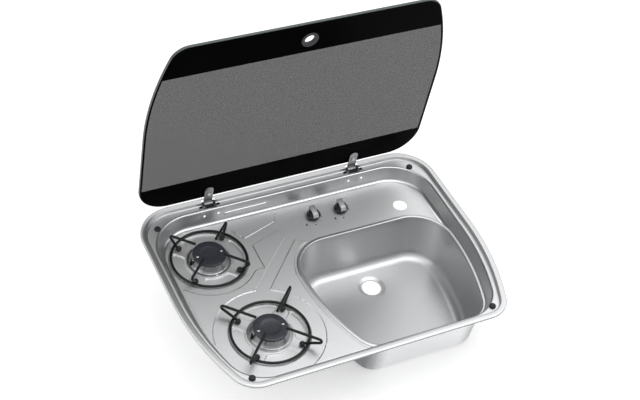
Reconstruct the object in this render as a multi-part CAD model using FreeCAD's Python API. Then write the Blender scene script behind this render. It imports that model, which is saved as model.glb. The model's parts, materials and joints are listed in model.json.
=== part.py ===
"""Drop-in gas hob and sink unit with a hinged glass lid, for the worktop of a small kitchen.

Millimetres. Origin at the middle of the plan on the worktop's surface, +X to the right, +Y to the rear, +Z up.
The lid stands open, as it does when the hob or the bowl is in use.
"""
import FreeCAD, Part
import math
import os

os.makedirs("parts", exist_ok=True)

V = FreeCAD.Vector
UP = V(0, 0, 1)

# Sheet and rim
SHEET = 0.8
RIM_TOP = 3.2
RIM_WIDTH = 11.9
LEDGE_Z = -4.3
DECK_Z = -32.0
RIM_END = 13.8
WALL_START = -3.5
WALL_LEAN = 8.5
WALL_END = 15.0

# Margins between the plan outlines
RECESS_SIDE = 21.0
RECESS_REAR = 27.0
RECESS_FRONT = 19.5
BOWL_SIDE = 14.5
BOWL_FRONT = 15.0
LID_SIDE = 12.8
LID_REAR = 27.5
LID_FRONT = 13.5

# Plan outlines: right and left side line, side arc radius, where the arc starts, rear, front and corner radii
OUTER = dict(xr=300.0, xl=-300.0, rad_r=520.0, rad_l=520.0, tan_r=0.0, tan_l=0.0,
             rear=222.5, front=-222.5, rear_rad=72.0, front_rad=50.0, start=0.0)
RECESS = dict(OUTER, xr=OUTER["xr"] - RECESS_SIDE, xl=OUTER["xl"] + RECESS_SIDE,
              rad_r=OUTER["rad_r"] - RECESS_SIDE, rad_l=OUTER["rad_l"] - RECESS_SIDE,
              rear=OUTER["rear"] - RECESS_REAR, front=OUTER["front"] + RECESS_FRONT, rear_rad=80.0, front_rad=70.0)
BOWL = dict(xr=RECESS["xr"] - BOWL_SIDE, xl=-41.5, rad_r=RECESS["rad_r"] - BOWL_SIDE, rad_l=430.0, tan_r=0.0,
            tan_l=4.0, rear=78.0, front=RECESS["front"] + BOWL_FRONT, rear_rad=70.0, front_rad=46.0, start=111.5)
LID = dict(OUTER, xr=OUTER["xr"] - LID_SIDE, xl=OUTER["xl"] + LID_SIDE,
           rad_r=OUTER["rad_r"] - LID_SIDE, rad_l=OUTER["rad_l"] - LID_SIDE,
           rear=OUTER["rear"] - LID_REAR, front=OUTER["front"] + LID_FRONT, rear_rad=59.0, front_rad=37.2)

# Bowl
BEAD_WIDTH = 8.0
BEAD_Z = -29.4
COLLAR_Z = -44.0
FLOOR_Z = -125.0
BOWL_LEAN = 11.5
BOWL_FILLET = 20.0
BOWL_FLAT = 31.0
DRAIN = (112.6, 13.3)
DRAIN_RAD = 18.1
DRAIN_SEAT_RAD = 26.5
DRAIN_DROP = 3.5

# Wells
BURNERS = {"front": (-154.4, -95.4), "rear": (-189.7, 101.7)}
WELL_RAD = 74.0
PAD_Z = -34.2
POCKET_Z = -36.6
WELL_HOLE = 28.0
PAD_HALF = 11.5

# Holes in the deck and rear wall
TAP_HOLE = (211.0, 113.5)
TAP_HOLE_RAD = 13.5
FIXING_RAD = 2.2
FIXING_Z = -15.0
FIXING_SPACING = 28.0
RIB_ENDS = (-122.0, -40.0)
RIB_Z = -19.5
RIB_HALF = 3.5

# Lid and hinges
GLASS = 5.0
GLASS_Z = 0.7
HINGE_Y = OUTER["rear"] - 11.1
HINGE_Z = -4.0
HINGE_X = 149.5
LID_OPEN_DEG = 83.0
PIN_RAD = 2.3
RUN_FIT = 0.05
SEAT_FIT = 0.02
PAD = 0.5
LEAF = 1.8
LEAF_WIDTH = 17.0
LEAF_LENGTH = 44.0
LEAF_SCREW = 26.0
FINGER_Y = -170.0
FINGER_RAD = 13.0
NOTCH_HALF = 13.3
NOTCH_FRONT = HINGE_Y - 11.4
NOTCH_REAR = HINGE_Y + 6.1
BLOCK_GAP = 0.3
BLOCK_BASE = -13.0
BLOCK_FLOOR = HINGE_Z - 4.9
EAR_RAD = 5.2
LUG = 1.6
LUG_HALF = 3.2
BLOCK_SCREW = 16.5
BLOCK_SCREW_Y = NOTCH_FRONT + 4.4
BLOCK_SCREW_HOLE = 1.3
BUFFERS = ((OUTER["xr"] - 39.0, OUTER["rear"] - 44.0), (OUTER["xr"] - 67.7, OUTER["front"] + 27.1))
BUFFER_RAD = 6.0
BUFFER_TOP = 0.6

# Burners and pan supports
CAP_RAD = 31.0
CAP_TOP = -15.0
CAP_BASE = -19.0
CAP_SCREW = 23.0
FLANGE_RAD = 41.0
FLANGE = 1.2
FLAME_PORTS = 30
PROBE_X = -34.8
PROBE_HOLE = 2.9
BURNER_SCREW = 38.6
SCREW_HOLE = 1.55
BURNER_BASE = -52.0
HOLDER_BASE = -72.0
GAS_Z = -58.0
WIRE_RAD = 2.5
RING_RAD = 69.0
RING_Z = -28.0
FINGER_Z = -4.0
FINGER_INNER = 28.0
FINGER_CORNER = {"front": 107.0, "rear": 81.0}
FINGER_BEND = 4.5
FOOT_R = 60.0
FOOT_Z = -30.2
FOOT_RAD = 5.2

# Gas taps and knobs
KNOBS = {"left": (37.5, 140.0), "right": (95.5, 140.0)}
KNOB_RAD = 13.5
KNOB_HOLE = 6.5
TAP_SCREW = 9.6
KNOB_BASE = -27.5
KNOB_PUSH = 3.0
GRIP_WIDTH = 11.0
SPINDLE_RAD = 4.0
PLUNGER_RAD = 3.0
TAP_RAD = 10.0
TAP_BASE = -72.0
SPINDLE_BASE = -52.0
RAIL_Y = 158.0
RAIL = 14.0
TUBE_RAD = 3.0
LEAD_RAD = 1.2
INLET_RAD = 4.0


def plan_outline(spec, inset, z):
    """Closed outline of ten arcs and lines, parallel to the given one at a distance, clockwise from the rear."""
    xr = spec["xr"] - inset
    xl = spec["xl"] + inset
    rear = spec["rear"] - inset
    front = spec["front"] + inset
    rr = spec["rear_rad"] - inset
    rf = spec["front_rad"] - inset
    big_r = spec["rad_r"] - inset
    big_l = spec["rad_l"] - inset
    mid_r = xr - big_r
    mid_l = xl + big_l
    tan_r = spec["tan_r"]
    tan_l = spec["tan_l"]
    low = front + rf
    cr = mid_r + math.sqrt((big_r - rf) ** 2 - (low - tan_r) ** 2)
    cl = mid_l - math.sqrt((big_l - rf) ** 2 - (low - tan_l) ** 2)
    ang_r = math.atan2(low - tan_r, cr - mid_r)
    ang_l = math.atan2(low - tan_l, cl - mid_l)
    start = V(spec["start"], rear, z)

    def around(x, y, rad, angle):
        return V(x + rad * math.cos(angle), y + rad * math.sin(angle), z)

    def arc(x, y, rad, a, b):
        return Part.Arc(around(x, y, rad, a), around(x, y, rad, (a + b) / 2.0), around(x, y, rad, b)).toShape()

    def line(p, q):
        return Part.makeLine(p, q)

    half = math.pi / 2.0
    ang_left = ang_l if ang_l < 0 else ang_l - 2.0 * math.pi
    edges = [
        line(start, V(xr - rr, rear, z)),
        arc(xr - rr, rear - rr, rr, half, 0.0),
        line(V(xr, rear - rr, z), V(xr, tan_r, z)),
        arc(mid_r, tan_r, big_r, 0.0, ang_r),
        arc(cr, low, rf, ang_r, -half),
        line(V(cr, front, z), V(cl, front, z)),
        arc(cl, low, rf, -half, ang_left),
        arc(mid_l, tan_l, big_l, ang_left, -math.pi),
        line(V(xl, tan_l, z), V(xl, rear - rr, z)),
        arc(xl + rr, rear - rr, rr, math.pi, half),
        line(V(xl + rr, rear, z), start),
    ]
    return Part.Wire(edges)


def rounded(points, radii):
    """Lines and arcs through points in a plane, each inner corner rounded: a list of ("line" or "arc", points)."""
    out = []
    here = points[0]
    for i in range(1, len(points) - 1):
        p, q, r = points[i - 1], points[i], points[i + 1]
        rad = radii[i - 1]
        ax, ay = p[0] - q[0], p[1] - q[1]
        bx, by = r[0] - q[0], r[1] - q[1]
        la, lb = math.hypot(ax, ay), math.hypot(bx, by)
        ax, ay, bx, by = ax / la, ay / la, bx / lb, by / lb
        inner = math.acos(max(-1.0, min(1.0, ax * bx + ay * by)))
        if rad < 0.02 or inner > math.pi - 0.001:
            out.append(("line", (here, q)))
            here = q
            continue
        run = rad / math.tan(inner / 2.0)
        s = (q[0] + ax * run, q[1] + ay * run)
        e = (q[0] + bx * run, q[1] + by * run)
        hx, hy = ax + bx, ay + by
        hl = math.hypot(hx, hy)
        far = rad / math.sin(inner / 2.0) - rad
        m = (q[0] + hx / hl * far, q[1] + hy / hl * far)
        if math.hypot(s[0] - here[0], s[1] - here[1]) > 0.001:
            out.append(("line", (here, s)))
        out.append(("arc", (s, m, e)))
        here = e
    out.append(("line", (here, points[-1])))
    return out


def underside(points, radii, thick):
    """Points and radii of the line that runs at one thickness to the right of a line of sheet."""
    lines = []
    for p, q in zip(points, points[1:]):
        dx, dy = q[0] - p[0], q[1] - p[1]
        length = math.hypot(dx, dy)
        dx, dy = dx / length, dy / length
        lines.append(((p[0] + dy * thick, p[1] - dx * thick), (dx, dy)))
    found = [lines[0][0]]
    rads = []
    for i in range(len(lines) - 1):
        (px, py), (dx, dy) = lines[i]
        (qx, qy), (ex, ey) = lines[i + 1]
        cross = dx * ey - dy * ex
        s = ((qx - px) * ey - (qy - py) * ex) / cross
        found.append((px + dx * s, py + dy * s))
        rads.append(max(0.0, radii[i] + thick if cross > 0 else radii[i] - thick))
    last = points[-1]
    dx, dy = lines[-1][1]
    found.append((last[0] + dy * thick, last[1] - dx * thick))
    return found, rads


def wire_of(pieces, place):
    """Closed wire from rounded pieces, each plane point placed in space."""
    edges = []
    for kind, pts in pieces:
        spots = [place(p) for p in pts]
        if kind == "line":
            edges.append(Part.makeLine(spots[0], spots[1]))
        else:
            edges.append(Part.Arc(spots[0], spots[1], spots[2]).toShape())
    return Part.Wire(edges)


def backwards(pieces):
    """The same pieces from the other end."""
    return [(kind, tuple(reversed(pts))) for kind, pts in reversed(pieces)]


def sheet_section(points, radii, place, level_start=False):
    """Closed section of bent sheet: the top line, and its underside one sheet thickness to its right."""
    low, low_radii = underside(points, radii, SHEET)
    if level_start:
        dx, dy = points[1][0] - points[0][0], points[1][1] - points[0][1]
        shift = (points[0][1] - low[0][1]) / dy
        low[0] = (low[0][0] + dx * shift, points[0][1])
    top = rounded(points, radii)
    bottom = rounded(low, low_radii)
    pieces = top + [("line", (points[-1], low[-1]))] + backwards(bottom) + [("line", (low[0], points[0]))]
    return wire_of(pieces, place)


def sweep(path, section):
    """Solid made by carrying a closed section round a flat path."""
    shell = Part.BRepOffsetAPI.MakePipeShell(path)
    shell.setBiNormalMode(UP)
    shell.add(section)
    shell.build()
    shell.makeSolid()
    solid = Part.Solid(shell.shape())
    if solid.Volume < 0:
        solid.reverse()
    return solid


def ring_of(spec, points, radii, level_start=False):
    """Bent sheet carried round a plan outline; points are (distance in from the outline, height)."""
    def place(p):
        return V(spec["start"], spec["rear"] - p[0], p[1])
    return sweep(plan_outline(spec, 0.0, 0.0), sheet_section(points, radii, place, level_start))


def turned(points, radii, x, y):
    """Bent sheet turned round a vertical axis; points are (minus the radius, height)."""
    def place(p):
        return V(x - p[0], y, p[1])
    return Part.Face(sheet_section(points, radii, place)).revolve(V(x, y, 0), UP, 360)


def revolve(points, x=0.0, y=0.0):
    """Solid turned round a vertical axis from a closed polygon of (radius, height)."""
    spots = [V(x + r, y, z) for r, z in points]
    return Part.Face(Part.makePolygon(spots + [spots[0]])).revolve(V(x, y, 0), UP, 360)


def prism(wire, height):
    """Solid from a closed flat wire, drawn along Z."""
    return Part.Face(wire).extrude(V(0, 0, height))


def box(x0, x1, y0, y1, z0, z1):
    """Box between two corners."""
    return Part.makeBox(x1 - x0, y1 - y0, z1 - z0, V(x0, y0, z0))


def rod(x, y, z0, z1, rad):
    """Upright cylinder."""
    return Part.makeCylinder(rad, z1 - z0, V(x, y, z0), UP)


def fuse(shapes):
    """One solid from touching or overlapping ones, without the seams between flush faces."""
    first = shapes[0].multiFuse(shapes[1:]) if len(shapes) > 1 else shapes[0]
    return first.removeSplitter()


def hexagon(x, y, z0, z1, across):
    """Upright six-sided prism."""
    rad = across / math.sqrt(3.0)
    spots = [V(x + rad * math.cos(math.radians(60 * i)), y + rad * math.sin(math.radians(60 * i)), z0)
             for i in range(7)]
    return prism(Part.makePolygon(spots), z1 - z0)


def tube_path(points, bend):
    """Wire of straight runs with tangent bends of one radius."""
    edges = []
    here = points[0]
    for p, q, r in zip(points, points[1:], points[2:]):
        a = (p - q).normalize()
        b = (r - q).normalize()
        inner = a.getAngle(b)
        run = bend / math.tan(inner / 2.0)
        s = q + a * run
        e = q + b * run
        h = (a + b).normalize()
        m = q + h * (bend / math.sin(inner / 2.0) - bend)
        edges.append(Part.makeLine(here, s))
        edges.append(Part.Arc(s, m, e).toShape())
        here = e
    edges.append(Part.makeLine(here, points[-1]))
    return Part.Wire(edges)


def pipe(points, bend, rad):
    """Round rod along straight runs and tangent bends."""
    path = tube_path(points, bend)
    way = points[1] - points[0]
    end = Part.Wire(Part.makeCircle(rad, points[0], way))
    solid = Part.Solid(path.makePipeShell([end], True, True))
    if solid.Volume < 0:
        solid.reverse()
    return solid


def sector(x, y, turn, near, far, half, z):
    """Flat wire of a ring sector whose straight sides run beside the two diagonals."""
    def spot(rad, diagonal, side):
        along = math.sqrt(rad * rad - half * half)
        c, s = math.cos(diagonal), math.sin(diagonal)
        return V(x + along * c - side * half * s, y + along * s + side * half * c, z)

    def mid(rad):
        return V(x + rad * math.cos(turn), y + rad * math.sin(turn), z)

    a, b = turn - math.pi / 4.0, turn + math.pi / 4.0
    return Part.Wire([
        Part.Arc(spot(near, a, 1), mid(near), spot(near, b, -1)).toShape(),
        Part.makeLine(spot(near, b, -1), spot(far, b, -1)),
        Part.Arc(spot(far, b, -1), mid(far), spot(far, a, 1)).toShape(),
        Part.makeLine(spot(far, a, 1), spot(near, a, 1)),
    ])


def pocket(x, y, turn, grow, low, high):
    """Tapered sector-shaped pocket between two heights, grown outwards by one distance."""
    def at(z):
        in_by = (high - z) * 0.75
        return sector(x, y, turn, 43.0 + in_by - grow, 67.0 - in_by + grow, PAD_HALF + in_by - grow, z)
    top = 0.6 if grow == 0 else 0.4
    return Part.makeLoft([at(low), at(high + top)], True, True)


def well(name):
    """Pressed well of one burner: dished rim, flat floor, four pockets that leave four raised pads."""
    x, y = BURNERS[name]
    shape = turned([(-WELL_RAD, DECK_Z), (-72.5, DECK_Z), (-69.5, PAD_Z), (-WELL_HOLE, PAD_Z)], [1.4, 1.4], x, y)
    turns = [math.pi / 2.0 * i for i in range(4)]
    shape = shape.multiFuse([pocket(x, y, a, 0.9, POCKET_Z - SHEET, PAD_Z - SHEET) for a in turns])
    shape = shape.cut(Part.makeCompound([pocket(x, y, a, 0.0, POCKET_Z, PAD_Z) for a in turns]))
    return shape


def panel(points, radii):
    """Shallow raised panel on the deck with rounded corners."""
    first, last = points[0], points[-1]
    start = ((first[0] + last[0]) / 2.0, (first[1] + last[1]) / 2.0)
    pieces = rounded([start] + points + [start], radii)
    return prism(wire_of(pieces, lambda p: V(p[0], p[1], DECK_Z - 0.4)), 1.1)


def deck_panels():
    """Raised panels beside the burners: a wedge at the rear, a long one between the burners, one by the bowl."""
    fx, fy = BURNERS["front"]
    rx, ry = BURNERS["rear"]
    wedge = panel([(-108.0, 128.5), (-38.0, 151.5), (-26.5, 172.5), (-30.5, 178.0), (-128.0, 178.0), (-132.0, 165.0)],
                  [5.0, 6.0, 3.0, 2.0, 4.0, 4.0])
    wedge = wedge.cut(rod(rx, ry, DECK_Z - 1, DECK_Z + 2, 78.0))
    between = panel([(-262.0, -92.0), (-262.0, 50.0), (-103.0, 50.0), (-103.0, 108.5), (-43.0, 131.0), (-33.0, 110.0),
                     (-137.0, 7.0), (-137.0, -92.0)],
                    [2.0, 3.0, 0.0, 4.0, 5.0, 4.0, 0.0, 2.0])
    between = between.cut(rod(rx, ry, DECK_Z - 1, DECK_Z + 2, 86.5))
    between = between.cut(rod(fx, fy, DECK_Z - 1, DECK_Z + 2, 99.0))
    between = [s for s in between.Solids if s.Volume > 2000.0]
    beside = panel([(-115.0, -2.0), (-22.0, 96.5), (-17.0, 96.5), (-5.0, 87.0), (60.0, 40.0), (60.0, -187.0),
                    (-115.0, -187.0)],
                   [3.0, 3.0, 3.0, 3.0, 0.0, 0.0, 0.0])
    beside = beside.cut(rod(fx, fy, DECK_Z - 1, DECK_Z + 2, 99.0))
    beside = beside.cut(prism(plan_outline(BOWL, -4.0, DECK_Z - 1.0), 3.0))
    kept = plan_outline(RECESS, WALL_END, DECK_Z - 1.0)
    beside = beside.common(prism(kept, 3.0))
    beside = sorted(beside.Solids, key=lambda s: -s.Volume)[:1]
    return [wedge] + between + beside


def wall_rib():
    """Low round-ended rib pressed into the rear wall, left of the middle."""
    x0, x1 = RIB_ENDS
    low = -0.4
    outline = Part.Wire([
        Part.makeLine(V(x0, -RIB_HALF, low), V(x1, -RIB_HALF, low)),
        Part.Arc(V(x1, -RIB_HALF, low), V(x1 + RIB_HALF, 0, low), V(x1, RIB_HALF, low)).toShape(),
        Part.makeLine(V(x1, RIB_HALF, low), V(x0, RIB_HALF, low)),
        Part.Arc(V(x0, RIB_HALF, low), V(x0 - RIB_HALF, 0, low), V(x0, -RIB_HALF, low)).toShape(),
    ])
    rib = prism(outline, 1.4)
    drop = LEDGE_Z - DECK_Z
    rib.rotate(V(0, 0, 0), V(1, 0, 0), math.degrees(math.atan2(drop, WALL_LEAN)))
    rib.translate(V(0, RECESS["rear"] - WALL_LEAN * (LEDGE_Z - RIB_Z) / drop, RIB_Z))
    return rib


def bowl_wall_at(z):
    """Distance of the bowl's wall in from its outline at one height."""
    return -0.5 + (BOWL_LEAN / (BEAD_Z - FLOOR_Z)) * (BEAD_Z - z)


def bowl_bead():
    """Raised bead round the bowl with the short collar that the bowl is welded to."""
    low = bowl_wall_at(COLLAR_Z)
    back = SHEET / math.cos(math.atan2(BOWL_LEAN, BEAD_Z - FLOOR_Z))
    under = DECK_Z - SHEET
    points = [(-BEAD_WIDTH / 2.0, under), (-BEAD_WIDTH, under), (-BEAD_WIDTH, BEAD_Z), (bowl_wall_at(BEAD_Z), BEAD_Z),
              (low, COLLAR_Z), (low - back, COLLAR_Z), (bowl_wall_at(under) - back, under), (-BEAD_WIDTH / 2.0, under)]
    pieces = rounded(points, [0.0, 2.3, 2.3, 0.0, 0.0, 0.0])
    section = wire_of(pieces, lambda p: V(BOWL["start"], BOWL["rear"] - p[0], p[1]))
    return sweep(plan_outline(BOWL, 0.0, 0.0), section)


def top_pressing():
    """Top pressed from one sheet: rim, ledge, recess wall, deck, burner wells, bowl bead and all its holes."""
    rim = ring_of(OUTER, [(0.0, 0.0), (0.0, RIM_TOP), (RIM_WIDTH, RIM_TOP), (RIM_WIDTH, LEDGE_Z), (RIM_END, LEDGE_Z)],
                  [2.6, 2.0, 1.5])
    wall = ring_of(RECESS, [(WALL_START, LEDGE_Z), (0.0, LEDGE_Z), (WALL_LEAN, DECK_Z), (WALL_END, DECK_Z)],
                   [4.0, 8.0])
    ledge = prism(plan_outline(OUTER, RIM_END, LEDGE_Z - SHEET), SHEET)
    ledge = ledge.cut(prism(plan_outline(RECESS, WALL_START, LEDGE_Z - 2.0), 4.0))
    deck = prism(plan_outline(RECESS, WALL_END, DECK_Z - SHEET), SHEET)
    for x, y in BURNERS.values():
        deck = deck.cut(rod(x, y, DECK_Z - 2, DECK_Z + 2, WELL_RAD))
    body = fuse([rim, ledge, wall, deck] + [well(n) for n in BURNERS])
    body = body.multiFuse(deck_panels() + [wall_rib()])
    opening = prism(plan_outline(BOWL, -BEAD_WIDTH / 2.0, DECK_Z - 6.0), 12.0)
    body = body.cut(opening)
    body = fuse([body, bowl_bead()])
    cutters = [rod(TAP_HOLE[0], TAP_HOLE[1], DECK_Z - 3, DECK_Z + 3, TAP_HOLE_RAD)]
    for x, y in KNOBS.values():
        cutters.append(rod(x, y, DECK_Z - 3, DECK_Z + 3, KNOB_HOLE))
        cutters += [rod(x + s * TAP_SCREW, y, DECK_Z - 3, DECK_Z + 3, SCREW_HOLE) for s in (-1, 1)]
    for x, y in BURNERS.values():
        cutters.append(rod(x + PROBE_X, y, PAD_Z - 3, PAD_Z + 3, PROBE_HOLE))
        cutters += [rod(x, y + s * BURNER_SCREW, PAD_Z - 3, PAD_Z + 3, SCREW_HOLE) for s in (-1, 1)]
    for side in (-1, 1):
        mid = side * HINGE_X
        cutters.append(box(mid - NOTCH_HALF, mid + NOTCH_HALF, NOTCH_FRONT, NOTCH_REAR, BLOCK_BASE - 3, RIM_TOP + 3))
        for s in (-1, 1):
            cutters.append(rod(mid + s * BLOCK_SCREW, BLOCK_SCREW_Y, LEDGE_Z - 3, LEDGE_Z + 3, BLOCK_SCREW_HOLE))
            spot = V(mid + s * FIXING_SPACING / 2.0, RECESS["rear"] - 25.0, FIXING_Z)
            cutters.append(Part.makeCylinder(FIXING_RAD, 40.0, spot, V(0, 1, 0)))
    return body.cut(Part.makeCompound(cutters)).removeSplitter()


def sink_bowl():
    """Drawn bowl: tapered wall, large floor fillet, flat floor and a stepped seat round the drain hole."""
    wall = ring_of(BOWL, [(bowl_wall_at(COLLAR_Z), COLLAR_Z), (BOWL_LEAN - 0.5, FLOOR_Z), (BOWL_FLAT, FLOOR_Z)],
                   [BOWL_FILLET], True)
    floor = prism(plan_outline(BOWL, BOWL_FLAT, FLOOR_Z - SHEET), SHEET)
    floor = floor.cut(rod(DRAIN[0], DRAIN[1], FLOOR_Z - 2, FLOOR_Z + 2, 30.0))
    low = FLOOR_Z - DRAIN_DROP
    seat = turned([(-30.0, FLOOR_Z), (-DRAIN_SEAT_RAD, FLOOR_Z), (-20.5, low), (-DRAIN_RAD, low)], [2.0, 1.2],
                  DRAIN[0], DRAIN[1])
    return fuse([wall, floor, seat])


def opened(shape):
    """A lid piece turned from its closed place to its open one."""
    out = shape.copy()
    out.rotate(V(0, HINGE_Y, HINGE_Z), V(1, 0, 0), -LID_OPEN_DEG)
    return out


def glass_lid():
    """Toughened glass panel with rounded edges, a finger hole and a hole for each hinge screw."""
    glass = prism(plan_outline(LID, 0.0, GLASS_Z), GLASS)
    edges = [e for e in glass.Edges if abs(e.BoundBox.ZLength) < 0.01]
    glass = glass.makeFillet(1.2, edges)
    glass = glass.cut(rod(0.0, FINGER_Y, GLASS_Z - 1, GLASS_Z + GLASS + 1, FINGER_RAD))
    for side in (-1, 1):
        glass = glass.cut(rod(side * HINGE_X, HINGE_Y - LEAF_SCREW, GLASS_Z - 1, GLASS_Z + GLASS + 1, 3.5))
    return opened(glass)


def finger_grommet():
    """Soft ring that lines the finger hole, with a lip on each face of the glass."""
    low, high = GLASS_Z, GLASS_Z + GLASS
    points = [(10.0, low - 0.6), (10.6, low - 1.2), (15.2, low - 1.2), (15.8, low - 0.6), (15.8, low), (12.9, low),
              (12.9, high), (15.8, high), (15.8, high + 0.6), (15.2, high + 1.2), (10.6, high + 1.2),
              (10.0, high + 0.6)]
    return opened(revolve(points, 0.0, FINGER_Y))


def hinge_arm(side):
    """Steel leaf under the glass, rolled into a knuckle round the hinge pin."""
    x = side * HINGE_X
    half = LEAF_WIDTH / 2.0
    top = GLASS_Z - PAD
    end = HINGE_Y - LEAF_LENGTH
    spots = [V(x - half, HINGE_Y, top - LEAF), V(x - half, end + half, top - LEAF)]
    spots += [V(x, end, top - LEAF), V(x + half, end + half, top - LEAF), V(x + half, HINGE_Y, top - LEAF)]
    outline = Part.Wire([Part.makeLine(spots[0], spots[1]), Part.Arc(spots[1], spots[2], spots[3]).toShape(),
                         Part.makeLine(spots[3], spots[4]), Part.makeLine(spots[4], spots[0])])
    leaf = prism(outline, LEAF)
    knuckle = Part.makeCylinder(top - HINGE_Z, LEAF_WIDTH, V(x - half, HINGE_Y, HINGE_Z), V(1, 0, 0))
    bore = Part.makeCylinder(PIN_RAD + RUN_FIT, LEAF_WIDTH + 2, V(x - half - 1, HINGE_Y, HINGE_Z), V(1, 0, 0))
    arm = fuse([leaf, knuckle]).cut(bore)
    arm = arm.cut(rod(x, HINGE_Y - LEAF_SCREW, top - LEAF - 1, top + 1, 2.55))
    return opened(arm)


def leaf_pads():
    """Thin fibre pads between the hinge leaves and the glass."""
    pads = []
    half = LEAF_WIDTH / 2.0 - 0.5
    for side in (-1, 1):
        x = side * HINGE_X
        pad = box(x - half, x + half, HINGE_Y - LEAF_LENGTH + 9.0, LID["rear"] - 1.5, GLASS_Z - PAD, GLASS_Z)
        pads.append(opened(pad.cut(rod(x, HINGE_Y - LEAF_SCREW, GLASS_Z - 2, GLASS_Z + 1, 3.5))))
    return Part.makeCompound(pads)


def lid_screws():
    """Screws that clamp the hinge leaves to the glass."""
    screws = []
    low = GLASS_Z - PAD - LEAF
    for side in (-1, 1):
        points = [(0.0, low - 2.0), (2.6, low - 2.0), (3.9, low - 1.2), (4.2, low), (2.5, low), (2.5, GLASS_Z + 6.5),
                  (0.0, GLASS_Z + 6.5)]
        screws.append(opened(revolve(points, side * HINGE_X, HINGE_Y - LEAF_SCREW)))
    return Part.makeCompound(screws)


def lid_caps():
    """Round domed nuts on the outer face of the glass, one on each hinge screw."""
    caps = []
    z = GLASS_Z + GLASS
    for side in (-1, 1):
        points = [(2.5, z), (11.0, z), (11.0, z + 1.0), (9.6, z + 2.4), (6.0, z + 3.4), (0.0, z + 3.8),
                  (0.0, GLASS_Z + 6.5), (2.5, GLASS_Z + 6.5)]
        caps.append(opened(revolve(points, side * HINGE_X, HINGE_Y - LEAF_SCREW)))
    return Part.makeCompound(caps)


def hinge_block(side):
    """Nylon block let into the rim: a floor, two ears that hold the pin, and two lugs on the ledge."""
    x = side * HINGE_X
    half = NOTCH_HALF - BLOCK_GAP
    front, rear = NOTCH_FRONT + BLOCK_GAP, NOTCH_REAR - BLOCK_GAP
    inner = LEAF_WIDTH / 2.0 + 0.5
    cheek = HINGE_Y - EAR_RAD
    parts = [box(x - half, x + half, front, rear, BLOCK_BASE, BLOCK_FLOOR),
             box(x - half, x + half, front, cheek, BLOCK_BASE, LEDGE_Z + 0.7)]
    for s in (-1, 1):
        a, b = sorted((x + s * inner, x + s * half))
        ear = box(a, b, cheek, rear, BLOCK_BASE, HINGE_Z)
        head = Part.makeCylinder(EAR_RAD, b - a, V(a, HINGE_Y, HINGE_Z), V(1, 0, 0))
        parts += [ear, head]
        c, d = sorted((x + s * inner, x + s * (BLOCK_SCREW + 4.0)))
        lug = box(c, d, BLOCK_SCREW_Y - LUG_HALF, BLOCK_SCREW_Y + LUG_HALF, LEDGE_Z, LEDGE_Z + LUG)
        parts.append(lug)
    block = fuse(parts)
    bore = Part.makeCylinder(PIN_RAD + SEAT_FIT, 4.0 * half, V(x - 2.0 * half, HINGE_Y, HINGE_Z), V(1, 0, 0))
    block = block.cut(bore)
    for s in (-1, 1):
        block = block.cut(rod(x + s * BLOCK_SCREW, BLOCK_SCREW_Y, LEDGE_Z - 2, LEDGE_Z + 4, BLOCK_SCREW_HOLE))
    return block


def hinge_pin(side):
    """Plain pin through the ears of a hinge block."""
    half = NOTCH_HALF - BLOCK_GAP
    return Part.makeCylinder(PIN_RAD, 2 * half, V(side * HINGE_X - half, HINGE_Y, HINGE_Z), V(1, 0, 0))


def hinge_screws():
    """Dark pan-head screws through the lugs of the hinge blocks."""
    screws = []
    top = LEDGE_Z + LUG
    points = [(0.0, BLOCK_BASE), (0.6, BLOCK_BASE), (1.25, BLOCK_BASE + 1.4), (1.25, top), (2.7, top),
              (2.6, top + 0.8), (1.5, top + 1.4), (0.0, top + 1.4)]
    for side in (-1, 1):
        for s in (-1, 1):
            screws.append(revolve(points, side * HINGE_X + s * BLOCK_SCREW, BLOCK_SCREW_Y))
    return Part.makeCompound(screws)


def lid_buffers():
    """Rubber domes on the ledge that the closed glass rests on."""
    buffers = []
    points = [(0.0, LEDGE_Z), (BUFFER_RAD, LEDGE_Z), (BUFFER_RAD, LEDGE_Z + 2.4), (5.4, LEDGE_Z + 3.7),
              (4.0, BUFFER_TOP - 0.3), (2.2, BUFFER_TOP), (0.0, BUFFER_TOP)]
    for x, y in BUFFERS:
        buffers += [revolve(points, s * x, y) for s in (-1, 1)]
    return Part.makeCompound(buffers)


def burner_body(name):
    """Cast burner: flared skirt on a thin flange, a ring of flame ports at its top, and a mixing throat below."""
    x, y = BURNERS[name]
    points = [(9.0, BURNER_BASE), (20.0, BURNER_BASE), (20.0, -46.0), (26.5, -43.0), (26.5, PAD_Z), (FLANGE_RAD, PAD_Z),
              (FLANGE_RAD, PAD_Z + FLANGE), (36.0, PAD_Z + FLANGE), (34.0, PAD_Z + 3.0), (32.0, PAD_Z + 6.0),
              (30.6, PAD_Z + 10.0), (29.8, CAP_BASE), (25.5, CAP_BASE), (25.5, -30.0), (12.0, -38.0), (9.0, -41.0)]
    body = revolve(points, x, y)
    slots = []
    for i in range(FLAME_PORTS):
        slot = box(x + 24.0, x + 34.0, y - 0.9, y + 0.9, CAP_BASE - 2.6, CAP_BASE + 1.0)
        slot.rotate(V(x, y, 0), UP, 360.0 / FLAME_PORTS * (i + 0.5))
        slots.append(slot)
    body = body.cut(Part.makeCompound(slots))
    for s in (-1, 1):
        post = rod(x + s * CAP_SCREW, y, -36.0, CAP_BASE, 3.2)
        body = body.fuse(post.cut(rod(x + s * CAP_SCREW, y, -27.0, CAP_BASE + 1, 1.6)))
        body = body.cut(rod(x, y + s * BURNER_SCREW, PAD_Z - 1, PAD_Z + 3, SCREW_HOLE))
    return body.cut(rod(x + PROBE_X, y, PAD_Z - 2, CAP_BASE - 3.0, PROBE_HOLE)).removeSplitter()


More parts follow.
